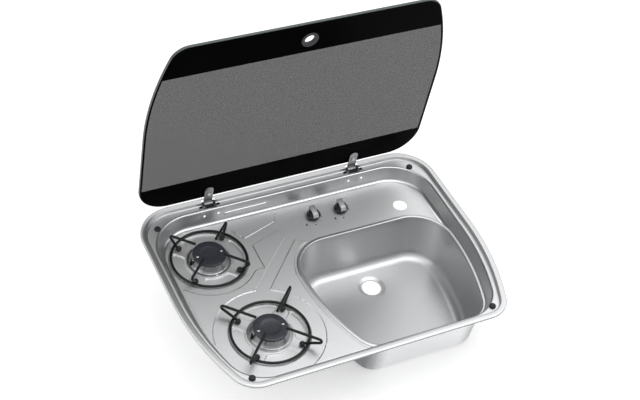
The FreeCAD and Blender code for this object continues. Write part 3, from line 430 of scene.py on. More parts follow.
# Baked black ink of the small marks on the deck: matt, a little uneven
DECK_INK = Finish("baked black ink", Slot.SATIN_STEEL, "#1c1c1d", "#262627", 0.0, (0.45, 0.6),
                  (0.6, 0.6, 0.6))


# Outlines, profiles and patches


def smooth(value: np.ndarray) -> np.ndarray:
    """Eases a value from 0 to 1 with level ends."""
    held = np.clip(value, 0.0, 1.0)
    return held * held * (3.0 - 2.0 * held)


def blunt_max(first: np.ndarray, second: np.ndarray, blend: float) -> np.ndarray:
    """Larger of two distances, with the corner where they cross rounded off."""
    near = np.maximum(blend - np.abs(first - second), 0.0) / blend
    return np.maximum(first, second) + near * near * blend * 0.25


def slope_of(value: Field, spots: np.ndarray, tiny: float = 0.01) -> np.ndarray:
    """Slope of a value over the plan.

    Args:
        value: The value, by plan point.
        spots: Plan points, one row each.
        tiny: Half of the step that it is taken over.

    Returns:
        Slope along X and along Y at each point.
    """
    return np.stack([(value(spots + step) - value(spots - step)) / (2.0 * tiny)
                     for step in ((tiny, 0.0), (0.0, tiny))], axis=1)


def runs_of(line: np.ndarray) -> np.ndarray:
    """Length of a line from its start to each of its points."""
    return np.concatenate([[0.0], np.cumsum(np.linalg.norm(np.diff(line, axis=0), axis=1))])


def clear_of(spots: np.ndarray, holes: Iterable[tuple[float, float, float]],
             share: float = 0.99) -> np.ndarray:
    """Which points lie in no round hole.

    Args:
        spots: Flat points, one row each.
        holes: Place and radius of each hole.
        share: Share of the radius that counts, since the holes are drawn with straight edges.

    Returns:
        True or false for each point.
    """
    good = np.ones(len(spots), dtype=bool)
    for x, y, radius in holes:
        good &= np.hypot(spots[:, 0] - x, spots[:, 1] - y) > radius * share
    return good


def at_height(flat: np.ndarray, z: float) -> np.ndarray:
    """Plan points lifted to one height."""
    return np.column_stack([flat, np.full(len(flat), z)])


def rounded(points: Sequence[Pair], radii: Sequence[float], step: float = 15.0) -> np.ndarray:
    """Line through points with its inner corners rounded.

    Args:
        points: Corner points of the line.
        radii: Radius at each inner corner, 0 for a sharp one.
        step: Largest turn between two points of an arc, in degrees.

    Returns:
        Points of the rounded line, one row each.
    """
    spots = [np.asarray(p, dtype=float) for p in points]
    line = [spots[0]]
    for before, corner, after, radius in zip(spots, spots[1:], spots[2:], radii):
        back = (before - corner) / np.linalg.norm(before - corner)
        ahead = (after - corner) / np.linalg.norm(after - corner)
        inner = math.acos(float(np.clip(back @ ahead, -1.0, 1.0)))
        if radius < 0.01 or inner > math.pi - 0.01:
            line.append(corner)
            continue
        middle = back + ahead
        heart = corner + middle / np.linalg.norm(middle) * radius / math.sin(inner / 2.0)
        first = corner + back * radius / math.tan(inner / 2.0) - heart
        last = corner + ahead * radius / math.tan(inner / 2.0) - heart
        sweep = math.pi - inner
        count = max(2, math.ceil(math.degrees(sweep) / step))
        for turn in np.linspace(0.0, sweep, count + 1):
            line.append(heart + (first * math.sin(sweep - turn) + last * math.sin(turn)) / math.sin(sweep))
    line.append(spots[-1])
    return np.array(line)


@dataclass(frozen=True)
class Plan:
    """Plan outline with bowed sides; every parallel to it shares its arcs' centres."""

    right: float
    left: float
    bow_right: float
    bow_left: float
    rear: float
    front: float
    rear_round: float
    front_round: float
    bow_from_right: float = 0.0
    bow_from_left: float = 0.0

    def arcs(self) -> list[tuple[float, float, float, float, float]]:
        """Centre, radius and end angles of the six arcs, clockwise from the rear right corner."""
        low = self.front + self.front_round
        heart_right = self.right - self.bow_right
        heart_left = self.left + self.bow_left
        rise_right = low - self.bow_from_right
        rise_left = low - self.bow_from_left
        run_right = math.sqrt((self.bow_right - self.front_round) ** 2 - rise_right ** 2)
        run_left = math.sqrt((self.bow_left - self.front_round) ** 2 - rise_left ** 2)
        turn_right = math.atan2(rise_right, run_right)
        turn_left = -math.pi - math.atan2(rise_left, run_left)
        high = self.rear - self.rear_round
        quarter = math.pi / 2.0
        return [
            (self.right - self.rear_round, high, self.rear_round, quarter, 0.0),
            (heart_right, self.bow_from_right, self.bow_right, 0.0, turn_right),
            (heart_right + run_right, low, self.front_round, turn_right, -quarter),
            (heart_left - run_left, low, self.front_round, -quarter, turn_left),
            (heart_left, self.bow_from_left, self.bow_left, turn_left, -math.pi),
            (self.left + self.rear_round, high, self.rear_round, -math.pi, -3.0 * quarter),
        ]

    def path(self, rear_stops: Sequence[float] = (), chord: float = 5.0) -> tuple[np.ndarray, np.ndarray]:
        """Points and outward normals from the right end of the rear line, clockwise.

        Args:
            rear_stops: Places along the rear line, left to right, that close the path; none leaves it open.
            chord: Longest step round the corners; the flat sides take longer ones.

        Returns:
            Points and unit normals, one row each.
        """
        turns = []
        hearts = []
        for x, y, radius, start, end in self.arcs():
            longest = chord / radius if radius < 200.0 else 2.4 * chord / radius
            count = max(2, math.ceil(abs(end - start) / longest) + 1)
            for angle in np.linspace(start, end, count):
                turns.append((math.cos(angle), math.sin(angle)))
                hearts.append((x, y, radius))
        normals = np.array(turns)
        centres = np.array(hearts)
        points = centres[:, :2] + normals * centres[:, 2:]
        gaps = np.linalg.norm(np.diff(points, axis=0), axis=1)
        kept = np.concatenate([[True], gaps > 0.02])
        points, normals = points[kept], normals[kept]
        if len(rear_stops):
            line = np.array([(x, self.rear) for x in rear_stops])
            points = np.vstack([points, line])
            normals = np.vstack([normals, np.tile((0.0, 1.0), (len(line), 1))])
        return points, normals

    def rear_line(self, gap: float, extra: Sequence[float] = ()) -> np.ndarray:
        """Even stops along the straight rear line, left to right, without its ends.

        Args:
            gap: Distance between two stops.
            extra: Other stops, which take the place of the even ones close by.

        Returns:
            The stops.
        """
        low = self.left + self.rear_round
        high = self.right - self.rear_round
        stops = np.linspace(low, high, max(3, round((high - low) / gap) + 1))[1:-1]
        far = [x for x in stops if all(abs(x - other) > 2.0 for other in extra)]
        return np.array(sorted(far + list(extra)))

    def depth(self, spots: np.ndarray) -> np.ndarray:
        """Distance of points in from the outline, negative outside it.

        Args:
            spots: Plan points, one row each.

        Returns:
            One distance for each point.
        """
        x, y = spots[:, 0], spots[:, 1]
        found = np.minimum(self.rear - y, y - self.front)
        corners = self.arcs()
        for index, (cx, cy, radius, start, end) in enumerate(corners):
            away = radius - np.hypot(x - cx, y - cy)
            if index in (1, 4):
                side = self.right - x if index == 1 else x - self.left
                found = np.minimum(found, np.where(y >= cy, side, away))
                continue
            heading = np.arctan2(y - cy, x - cx)
            turn = np.mod(start - heading, 2.0 * math.pi)
            found = np.where(turn <= start - end, np.minimum(found, away), found)
        return found

    def held(self, spots: np.ndarray, least: float, most: float) -> np.ndarray:
        """Points moved square to the outline until their depth lies within limits.

        Args:
            spots: Plan points, one row each.
            least: Smallest depth.
            most: Largest depth.

        Returns:
            The moved points.
        """
        depth = self.depth(spots)
        return spots + slope_of(self.depth, spots) * (np.clip(depth, least, most) - depth)[:, None]


def swept(path: tuple[np.ndarray, np.ndarray], profile: np.ndarray) -> np.ndarray:
    """Carries a profile along a path.

    Args:
        path: Points and outward normals of the path.
        profile: Distance in from the path and height of each profile point.

    Returns:
        Points by path place, profile place and axis.
    """
    points, normals = path
    plan = points[:, None, :] - normals[:, None, :] * profile[None, :, :1]
    heights = np.tile(profile[None, :, 1:], (len(points), 1, 1))
    return np.concatenate([plan, heights], axis=2)


def circle(x: float, y: float, radius: float, count: int) -> np.ndarray:
    """Points round a circle in the plan."""
    turns = np.linspace(0.0, 2.0 * math.pi, count, endpoint=False)
    return np.stack([x + radius * np.cos(turns), y + radius * np.sin(turns)], axis=1)


def honeycomb(low: Pair, high: Pair, gap: float) -> np.ndarray:
    """Even staggered points over a rectangle."""
    lines = []
    for index, y in enumerate(np.arange(low[1], high[1], gap * math.sqrt(0.75))):
        row = np.arange(low[0] + (index % 2) * gap / 2.0, high[0], gap)
        lines.append(np.column_stack([row, np.full(len(row), y)]))
    return np.concatenate(lines)


def thinned(spots: np.ndarray, gap: float) -> np.ndarray:
    """Leaves out each point that lies too near one before it.

    Args:
        spots: Plan points, one row each.
        gap: Least distance between two kept points.

    Returns:
        The kept points.
    """
    cells: dict[tuple[int, int], list[tuple[float, float]]] = {}
    kept = []
    for x, y in spots:
        i, j = int(x // gap), int(y // gap)
        near = [p for a in (-1, 0, 1) for b in (-1, 0, 1) for p in cells.get((i + a, j + b), ())]
        if all((x - p) ** 2 + (y - q) ** 2 >= gap * gap for p, q in near):
            cells.setdefault((i, j), []).append((x, y))
            kept.append((x, y))
    return np.array(kept)


def fill(loops: Sequence[np.ndarray], spots: np.ndarray, keep: Field) -> tuple[np.ndarray, np.ndarray]:
    """Fills the flat between closed loops with triangles.

    Args:
        loops: Closed loops of plan points.
        spots: Free points between them; those too near a loop are left out.
        keep: Says which triangles belong, from their middles.

    Returns:
        Plan points and triangles.
    """
    rims = np.concatenate(list(loops))
    steps = np.concatenate([np.linalg.norm(loop - np.roll(loop, 1, axis=0), axis=1) for loop in loops])
    tree = KDTree(len(rims))
    for index, (x, y) in enumerate(rims):
        tree.insert((x, y, 0.0), index)
    tree.balance()
    clear = []
    for x, y in spots:
        _, index, gap = tree.find((x, y, 0.0))
        clear.append(gap > 0.45 * min(float(steps[index]), 3.0))
    free = spots[np.array(clear, dtype=bool)] if len(spots) else np.zeros((0, 2))
    edges = []
    start = 0
    for loop in loops:
        count = len(loop)
        edges += [(start + i, start + (i + 1) % count) for i in range(count)]
        start += count
    corners = [Vector((x, y)) for x, y in np.concatenate([rims, free])]
    found = delaunay_2d_cdt(corners, edges, [], 0, 1e-5)
    points = np.array([(v.x, v.y) for v in found[0]])
    faces = np.array([f for f in found[2] if len(f) == 3])
    inside = keep(points[faces].mean(axis=1))
    return points, faces[inside]


class Patchwork:
    """Patches of one piece, gathered in millimetres and joined where their edges meet."""

    def __init__(self) -> None:
        """Starts with no patch."""
        self.points: list[np.ndarray] = []
        self.faces: list[tuple[int, ...]] = []
        self.marks: list[int] = []
        self.total = 0

    def patch(self, points: np.ndarray, faces: np.ndarray, mark: int = 0, up: bool = True) -> None:
        """Adds one patch, turned over where it faces down.

        Args:
            points: Places of its points.
            faces: Point numbers of its triangles or quads.
            mark: Number of its finish.
            up: Whether it has to face up as a whole; if not, it keeps its turn.
        """
        corners = points[faces]
        lean = np.cross(corners[:, 2] - corners[:, 0], corners[:, -1] - corners[:, 1])
        if up and lean[:, 2].sum() < 0.0:
            faces = faces[:, ::-1]
        self.points.append(points)
        self.faces += [tuple(int(i) + self.total for i in face) for face in faces]
        self.marks += [int(mark)] * len(faces)
        self.total += len(points)

    def strip(self, rows: np.ndarray, loop: bool = True, mark: int = 0, up: bool = True) -> None:
        """Adds a band of quads.

        Args:
            rows: Points by place along the band, place across it and axis.
            loop: Whether the band closes on itself.
            mark: Number of its finish.
            up: Whether it has to face up as a whole.
        """
        length, width = rows.shape[:2]
        here = np.arange(length if loop else length - 1)
        there = (here + 1) % length
        across = np.arange(width - 1)
        quads = np.stack([here[:, None] * width + across, there[:, None] * width + across,
                          there[:, None] * width + across + 1, here[:, None] * width + across + 1], axis=2)
        self.patch(rows.reshape(-1, 3), quads.reshape(-1, 4), mark, up)

    def prism(self, outline: np.ndarray, low: float, high: float) -> None:
        """Adds an upright wall round a flat outline and closes both its ends.

        Args:
            outline: Closed loop of plan points.
            low: Height of the lower end.
            high: Height of the upper end.
        """
        ends = [at_height(outline, z) for z in (low, high)]
        self.strip(np.stack(ends, axis=1), True, 0, False)
        for end in ends:
            self.patch(end, np.arange(len(end))[None, :], 0, False)

    def mesh(self, name: str, closed: bool = False) -> bpy.types.Mesh:
        """Joins the patches.

        Args:
            name: Name of the mesh.
            closed: Whether it is a closed shape whose faces are to point outwards.

        Returns:
            The mesh, in metres.
        """
        made = bpy.data.meshes.new(name)
        made.from_pydata((np.concatenate(self.points) * MM).tolist(), [], self.faces)
        made.polygons.foreach_set("material_index", self.marks)
        work = bmesh.new()
        work.from_mesh(made)
        bmesh.ops.remove_doubles(work, verts=work.verts, dist=0.008 * MM)
        bmesh.ops.dissolve_degenerate(work, edges=work.edges, dist=0.001 * MM)
        if closed:
            bmesh.ops.recalc_face_normals(work, faces=work.faces)
        work.to_mesh(made)
        work.free()
        return made


def lathe(points: np.ndarray, centre: Pair = (0.0, 0.0), count: int = 72,
          marks: Sequence[int] = ()) -> Patchwork:
    """Turns a profile round an upright axis.

    Args:
        points: Radius and height of each profile point.
        centre: Place of the axis in the plan.
        count: Steps round the axis.
        marks: Number of the finish of each run between two points; none gives the first to all.

    Returns:
        The turned patches.
    """
    rings = [at_height(circle(*centre, radius, count), z) for radius, z in points]
    work = Patchwork()
    for index, pair in enumerate(zip(rings, rings[1:])):
        work.strip(np.stack(pair, axis=1), True, marks[index] if len(marks) else 0, False)
    return work


def bent(points: Sequence[Sequence[float]], bend: float, step: float = 12.0) -> np.ndarray:
    """Line of a bent wire or tube: straight runs with round bends of one radius."""
    return rounded(points, [bend] * (len(points) - 2), step)


def opened(mesh: bpy.types.Mesh) -> bpy.types.Mesh:
    """Turns a piece of the lid from its closed place to its open one."""
    turn = Matrix.Translation(LID_AXIS) @ Matrix.Rotation(-LID_OPEN, 4, "X") @ Matrix.Translation(-LID_AXIS)
    mesh.transform(turn)
    return mesh


def centre_of(node: str) -> Pair:
    """Middle of a CAD node in the plan, in millimetres."""
    low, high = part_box(node)
    return (low[0] + high[0]) / 2.0 / MM, (low[1] + high[1]) / 2.0 / MM


def flattened(work: bpy.types.Object) -> bpy.types.Mesh:
    """Plain mesh of a working object with its modifiers; the object is then removed.

    Args:
        work: Object whose modifiers are to be worked in.

    Returns:
        The new mesh.
    """
    bpy.context.view_layer.update()
    made = bpy.data.meshes.new_from_object(work.evaluated_get(bpy.context.evaluated_depsgraph_get()))
    work.modifiers.clear()
    bpy.data.objects.remove(work)
    return made


def scratch(name: str, mesh: bpy.types.Mesh) -> bpy.types.Object:
    """Links a mesh as an object to work on."""
    made = bpy.data.objects.new(name, mesh)
    bpy.context.scene.collection.objects.link(made)
    return made


def finish_piece(name: str, mesh: bpy.types.Mesh, finishes: Sequence[Finish], body: Body,
                 nodes: Sequence[str] = (), crease: float = 38.0) -> bpy.types.Object:
    """Makes a mesh a finished piece of the object.

    Args:
        name: Name of the piece.
        mesh: Its mesh, in place.
        finishes: Its finishes, by their number in the mesh.
        body: Body that it moves with.
        nodes: CAD nodes that it stands for.
        crease: Angle, in degrees, past which an edge stays sharp.

    Returns:
        The finished piece.
    """
    work = bmesh.new()
    work.from_mesh(mesh)
    for face in work.faces:
        face.smooth = True
    for edge in work.edges:
        edge.smooth = len(edge.link_faces) != 2 or edge.calc_face_angle(0.0) < math.radians(crease)
    work.to_mesh(mesh)
    work.free()
    marks = [face.material_index for face in mesh.polygons]
    mesh.materials.clear()
    for finish in finishes:
        mesh.materials.append(finish.material())
    mesh.polygons.foreach_set("material_index", marks)
    made = scratch(name, mesh)
    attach(made, body.value)
    if nodes:
        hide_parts(*nodes)
    LOG.info("%s: %d faces on %s", name, len(mesh.polygons), body.value)
    return made


@dataclass
class CadCopy:
    """Smoothly shaded copy of a CAD node, with its edges broken.

    Faces farther across than a given reach from its middle may take another finish.
    """

    node: str
    finish: Finish
    body: Body
    edge: float
    outer: Union[tuple[float, Finish], None] = None

    def build(self) -> bpy.types.Object:
        """Builds and dresses the copy.

        Returns:
            The finished piece.
        """
        mesh = frame["nodes"][self.node].data.copy()
        mesh.materials.clear()
        work = bmesh.new()
        work.from_mesh(mesh)
        for face in work.faces:
            face.material_index = 0
        bmesh.ops.remove_doubles(work, verts=work.verts, dist=0.002 * MM)
        bmesh.ops.dissolve_limit(work, angle_limit=math.radians(0.5), verts=work.verts, edges=work.edges)
        work.to_mesh(mesh)
        work.free()
        blunt = scratch(self.node + "_work", mesh)
        rounding = blunt.modifiers.new("edges", "BEVEL")
        rounding.width = self.edge * MM
        rounding.segments = 2
        rounding.limit_method = "ANGLE"
        rounding.angle_limit = math.radians(35.0)
        mesh = flattened(blunt)
        finishes = [self.finish]
        if self.outer is not None:
            reach, other = self.outer
            middle = centre_of(self.node)[0]
            finishes.append(other)
            for face in mesh.polygons:
                face.material_index = int(abs(face.center.x / MM - middle) > reach)
        return finish_piece(self.node + "_piece", mesh, finishes, self.body, [self.node], 30.0)


# Geometry node trees


def tree_with(name: str, inputs: Sequence[tuple[str, str]]) -> bpy.types.NodeTree:
    """Starts a geometry node tree.

    Args:
        name: Name of the tree.
        inputs: Name and socket type of each input after the geometry.

    Returns:
        The tree, with its geometry sockets.
    """
    tree = bpy.data.node_groups.new(name, "GeometryNodeTree")
    tree.interface.new_socket("Geometry", in_out="INPUT", socket_type="NodeSocketGeometry")
    for label, kind in inputs:
        tree.interface.new_socket(label, in_out="INPUT", socket_type=kind)
    tree.interface.new_socket("Geometry", in_out="OUTPUT", socket_type="NodeSocketGeometry")
    return tree


def close_tree(tree: bpy.types.NodeTree, shape: bpy.types.NodeSocket, finish: bpy.types.NodeSocket) -> None:
    """Ends a tree: smooth shading, real geometry in place of instances, and the finish."""
    even = add(tree, "GeometryNodeSetShadeSmooth", {"Geometry": shape})
    real = add(tree, "GeometryNodeRealizeInstances", {"Geometry": even.outputs[0]})
    dressed = add(tree, "GeometryNodeSetMaterial", {"Geometry": real.outputs[0], "Material": finish})
    add(tree, "NodeGroupOutput", {0: dressed.outputs[0]})


def wire_tree() -> bpy.types.NodeTree:
    """Tree that gives every edge path of a mesh the section of a round wire."""
    tree = tree_with("wire along a path", [("Radius", "NodeSocketFloat"), ("Sides", "NodeSocketInt"),
                                           ("Finish", "NodeSocketMaterial")])
    given = add(tree, "NodeGroupInput")
    path = add(tree, "GeometryNodeMeshToCurve", {"Mesh": given.outputs["Geometry"]})
    section = add(tree, "GeometryNodeCurvePrimitiveCircle", {"Resolution": given.outputs["Sides"],
                                                             "Radius": given.outputs["Radius"]})
    wire = add(tree, "GeometryNodeCurveToMesh", {"Curve": path.outputs[0], "Fill Caps": True,
                                                 "Profile Curve": section.outputs[0]})
    close_tree(tree, wire.outputs[0], given.outputs["Finish"])
    return tree


def setting_tree() -> bpy.types.NodeTree:
    """Tree that sets one small piece on every point of a mesh."""
    tree = tree_with("pieces on points", [("Piece", "NodeSocketObject"), ("Finish", "NodeSocketMaterial")])
    given = add(tree, "NodeGroupInput")
    piece = add(tree, "GeometryNodeObjectInfo", {"Object": given.outputs["Piece"]})
    points = add(tree, "GeometryNodeMeshToPoints", {"Mesh": given.outputs["Geometry"]})
    placed = add(tree, "GeometryNodeInstanceOnPoints", {"Points": points.outputs[0],
                                                        "Instance": piece.outputs["Geometry"]})
    close_tree(tree, placed.outputs[0], given.outputs["Finish"])
    return tree


def crown_tree() -> bpy.types.NodeTree:
    """Tree that stands a ring of teeth round an axis, with the flame ports as the gaps between them."""
    tree = tree_with("crown of teeth", [("Teeth", "NodeSocketInt"), ("Radius", "NodeSocketFloat"),
                                        ("Tooth", "NodeSocketVector"), ("Finish", "NodeSocketMaterial")])
    given = add(tree, "NodeGroupInput")
    ring = add(tree, "GeometryNodeCurvePrimitiveCircle", {"Resolution": given.outputs["Teeth"],
                                                          "Radius": given.outputs["Radius"]})
    points = add(tree, "GeometryNodeCurveToPoints", {"Curve": ring.outputs[0]}, mode="EVALUATED")
    tooth = add(tree, "GeometryNodeMeshCube", {"Size": given.outputs["Tooth"]})
    placed = add(tree, "GeometryNodeInstanceOnPoints", {"Points": points.outputs[0],
                                                        "Instance": tooth.outputs[0],
                                                        "Rotation": points.outputs["Rotation"]})
    close_tree(tree, placed.outputs[0], given.outputs["Finish"])
    return tree


WIRE = wire_tree()
SETTING = setting_tree()
CROWN = crown_tree()


def grown(name: str, mesh: bpy.types.Mesh, tree: bpy.types.NodeTree, inputs: dict) -> bpy.types.Mesh:
    """Works a geometry node tree into a plain mesh.

    Args:
        name: Name of the working object.
        mesh: Mesh that the tree starts from.
        tree: The tree.
        inputs: Value of each named input.

    Returns:
        The plain mesh.
    """
    work = scratch(name, mesh)
    nodes = work.modifiers.new(tree.name, "NODES")
    nodes.node_group = tree
    for item in tree.interface.items_tree:
        if item.in_out == "INPUT" and item.name in inputs:
            nodes[item.identifier] = inputs[item.name]
    return flattened(work)


def wires(name: str, lines: Sequence[tuple[np.ndarray, bool]], radius: float, finish: Finish,
          sides: int = 16) -> bpy.types.Mesh:
    """Round wires along lines.

    Args:
        name: Name of the mesh.
        lines: Points of each line, and whether it closes on itself.
        radius: Radius of the wire.
        finish: Finish of the wire.
        sides: Sides of its section.

    Returns:
        The mesh of all the wires.
    """
    points = []
    edges = []
    for line, closed in lines:
        start = len(points)
        points += [tuple(p * MM) for p in line]
        edges += [(start + i, start + i + 1) for i in range(len(line) - 1)]
        if closed:
            edges.append((start + len(line) - 1, start))
    mesh = bpy.data.meshes.new(name)
    mesh.from_pydata(points, edges, [])
    return grown(name, mesh, WIRE, {"Radius": radius * MM, "Sides": sides, "Finish": finish.material()})


def set_out(name: str, profile: np.ndarray, count: int, places: Iterable[Sequence[float]], finish: Finish,
            node: str) -> None:
    """Turns one small piece, sets it on several places of the unit and finishes the set.

    Args:
        name: Name of the set.
        profile: Radius and height of each profile point.
        count: Steps round its axis.
        places: Where it goes, in millimetres.
        finish: Its finish.
        node: CAD node that the set stands for.
    """
    pattern = scratch(name + "_pattern", lathe(profile, count=count).mesh(name + "_pattern", True))
    mesh = bpy.data.meshes.new(name)
    mesh.from_pydata([tuple(value * MM for value in place) for place in places], [], [])
    made = grown(name, mesh, SETTING, {"Piece": pattern, "Finish": finish.material()})
    bpy.data.objects.remove(pattern)
    finish_piece(name, made, [finish], Body.UNIT, [node])


# Sub-assemblies


OUTER_PLAN = Plan(300.0, -300.0, 520.0, 520.0, 222.5, -222.5, 72.0, 50.0)
RECESS_PLAN = Plan(279.0, -279.0, 499.0, 499.0, 195.5, -203.0, 80.0, 70.0)
BOWL_PLAN = Plan(264.5, -41.5, 484.5, 430.0, 78.0, -188.0, 70.0, 46.0, 0.0, 4.0)
LID_PLAN = Plan(287.2, -287.2, 507.2, 507.2, 195.0, -209.0, 59.0, 37.2)
BURNERS = {name: centre_of("burner_cap_" + name) for name in ("front", "rear")}
KNOBS = {side: centre_of("knob_" + side) for side in ("left", "right")}
DECK_Z = -32.0
PAD_Z = -34.2
LEDGE_Z = -4.3
COLLAR_Z = -44.0
FLOOR_Z = -125.0
BEAD_Z = -29.4
SHEET = 0.8
SHEET_CREASE = 42.0
HINGE_X = 149.5
PROBE_X = -34.8
BOWL_TOP = -0.5
BOWL_DRAFT = 11.5
BOWL_PATH = BOWL_PLAN.path(BOWL_PLAN.rear_line(8.0))
NO_SPOTS = np.zeros((0, 2))


class Mark(IntEnum):
    """Numbers of the finishes in the top pressing's mesh."""

    SATIN = 0
    PRESSED = 1
    LIP_SHADE = 2
    BOWL = 3


def bowl_wall(z: float) -> float:
    """Distance of the bowl's wall in from its outline at one height."""
    return BOWL_TOP + BOWL_DRAFT / (BEAD_Z - FLOOR_Z) * (BEAD_Z - z)


def thickened(name: str, mesh: bpy.types.Mesh, under: int = 0) -> bpy.types.Mesh:
    """Gives a bent surface the thickness of the sheet, away from the side it faces.

    Args:
        name: Name of the working object.
        mesh: The surface.
        under: How much the number of the finish rises on the other side.

    Returns:
        The mesh of the sheet.
    """
    sheet = scratch(name, mesh)
    wall = sheet.modifiers.new("sheet", "SOLIDIFY")
    wall.thickness = SHEET * MM
    wall.offset = -1.0
    wall.material_offset = under
    return flattened(sheet)


def outside_polygon(spots: np.ndarray, corners: Sequence[Pair]) -> np.ndarray:
    """Distance of points outside a polygon, negative inside it.

    Args:
        spots: Plan points, one row each.
        corners: Corners of the polygon in order.

    Returns:
        One distance for each point.
    """
    near = np.full(len(spots), np.inf)
    inside = np.zeros(len(spots), dtype=bool)
    ring = np.array(corners)
    for a, b in zip(ring, np.roll(ring, -1, axis=0)):
        way = b - a
        along = np.clip(((spots - a) @ way) / (way @ way), 0.0, 1.0)
        near = np.minimum(near, np.linalg.norm(spots - a - along[:, None] * way, axis=1))
        spans = (a[1] > spots[:, 1]) != (b[1] > spots[:, 1])
        rise = b[1] - a[1] if b[1] != a[1] else 1.0
        cross = a[0] + (spots[:, 1] - a[1]) / rise * way[0]
        inside ^= spans & (spots[:, 0] < cross)
    return np.where(inside, -near, near)


@dataclass
class TopPressing:
    """Pressed steel top: rim, ledge, recess wall, deck with wells and panels, and bead round the bowl."""

    rim: Sequence[Pair] = ((0.0, 0.0), (0.0, 3.2), (11.9, 3.2), (11.9, LEDGE_Z), (13.8, LEDGE_Z))
    rim_rounds: Sequence[float] = (2.6, 2.0, 1.5)
    # Height up the lip to which its foot carries the painted shade line
    lip_foot: float = 1.2
    wall: Sequence[Pair] = ((-3.5, LEDGE_Z), (0.0, LEDGE_Z), (8.5, DECK_Z), (15.0, DECK_Z))
    wall_rounds: Sequence[float] = (4.0, 8.0)
    bead_width: float = 8.0
    bead_round: float = 2.3
    bead_off_wall: float = 7.0
    well_edge: Pair = (73.6, 69.2)
    well_hole: float = 28.0
    well_reach: float = 3.4
    well_levels: Sequence[float] = (-2.6, -1.7, -0.9, 0.0, 0.9, 1.7, 2.6)
    pocket: Pair = (43.0, 67.0)
    pocket_drop: float = 2.4
    pocket_foot: float = 0.4
    pocket_slope: float = 2.4
    pocket_blend: Pair = (1.0, 6.0)
    pocket_reach: Pair = (-0.8, 2.4)
    pocket_levels: Sequence[float] = (-2.3, -1.6, -0.8, 0.0, 0.7)
    pad_half: float = 11.5
    probe_hole: float = 2.9
    panel_rise: float = 1.1
    panel_slope: float = 1.6
    panel_blend: float = 5.0
    panel_inset: float = 1.0
    panel_off_bead: float = 4.0
    panel_reach: float = 2.2
    panel_levels: Sequence[float] = (-1.5, -0.8, 0.0, 0.8, 1.5)
    deck_box: tuple[Pair, Pair] = ((-275.0, -195.0), (275.0, 190.0))
    fine_gap: float = 1.2
    wide_gap: float = 8.0
    wide_off: float = 4.0
    least_gap: float = 0.48
    rear_gap: float = 9.0
    tap_hole: tuple[float, float, float] = (211.0, 113.5, 13.5)
    knob_hole: float = 6.5
    notch: tuple[float, float, float] = (13.3, 200.0, 217.5)
    fixing: tuple[float, float, float] = (14.0, -15.0, 2.2)
    rib: tuple[float, float, float, float] = (-122.0, -40.0, -19.5, 3.5)
    rib_rise: float = 1.4
    rib_slope: float = 1.7
    rib_lift: float = 0.3
    rib_reach: float = 1.6
    rib_margin: float = 8.0
    rib_gap: Pair = (0.7, 0.5)
    wedge: Sequence[Pair] = ((-108.0, 128.5), (-38.0, 151.5), (-26.5, 172.5), (-30.5, 178.0), (-128.0, 178.0),
                             (-132.0, 165.0))
    between: Sequence[Pair] = ((-262.0, -92.0), (-262.0, 50.0), (-103.0, 50.0), (-103.0, 108.5),
                               (-43.0, 131.0), (-33.0, 110.0), (-137.0, 7.0), (-137.0, -92.0))
    beside: Sequence[Pair] = ((-115.0, -2.0), (-22.0, 96.5), (-17.0, 96.5), (-5.0, 87.0), (60.0, 40.0),
                              (60.0, -187.0), (-115.0, -187.0))
    near_rear: Pair = (78.0, 86.5)
    near_front: float = 99.0

    def from_burner(self, spots: np.ndarray, name: str) -> np.ndarray:
        """Plan distance of points from the middle of one burner."""
        return np.linalg.norm(spots - np.array(BURNERS[name]), axis=1)

    def panels(self, spots: np.ndarray) -> np.ndarray:
        """Distance of points outside the nearest raised panel, negative inside one.

        Args:
            spots: Plan points, one row each.

        Returns:
            One distance for each point.
        """
        rear = self.from_burner(spots, "rear")
        front = self.from_burner(spots, "front")
        wedge, between, beside = [outside_polygon(spots, corners) + self.panel_inset
                                  for corners in (self.wedge, self.between, self.beside)]
        wedge = blunt_max(wedge, self.near_rear[0] - rear, self.panel_blend)
        between = blunt_max(between, self.near_rear[1] - rear, self.panel_blend)
        between = blunt_max(between, self.near_front - front, self.panel_blend)
        beside = blunt_max(beside, self.near_front - front, self.panel_blend)
        beside = np.maximum(beside, BOWL_PLAN.depth(spots) + self.bead_width + self.panel_off_bead)
        beside = np.maximum(beside, self.wall[-1][0] + self.panel_inset - RECESS_PLAN.depth(spots))
        return np.minimum(np.minimum(wedge, between), beside)

    def pockets(self, spots: np.ndarray, name: str) -> np.ndarray:
        """Distance of points outside the four pockets of one well, negative inside one.

        Args:
            spots: Plan points, one row each.
            name: Burner of the well.

        Returns:
            One distance for each point.
        """
        x, y = (spots - np.array(BURNERS[name])).T
        radius = np.hypot(x, y)
        slant = np.minimum(np.abs(x - y), np.abs(x + y)) / math.sqrt(2.0)
        ring = blunt_max(self.pocket[0] - radius, radius - self.pocket[1], self.pocket_blend[0])
        return blunt_max(ring, self.pad_half - slant, self.pocket_blend[1])

    def height(self, spots: np.ndarray) -> np.ndarray:
        """Height of the deck.

        Args:
            spots: Plan points, one row each.

        Returns:
            One height for each point.
        """
        half = self.panel_slope / 2.0
        level = DECK_Z + self.panel_rise * smooth((half - self.panels(spots)) / self.panel_slope)
        for name in BURNERS:
            radius = self.from_burner(spots, name)
            high, low = self.well_edge
            level += (PAD_Z - DECK_Z) * smooth((high - radius) / (high - low))
            inside = (self.pocket_foot - self.pockets(spots, name)) / self.pocket_slope
            level -= self.pocket_drop * smooth(inside)
        return level

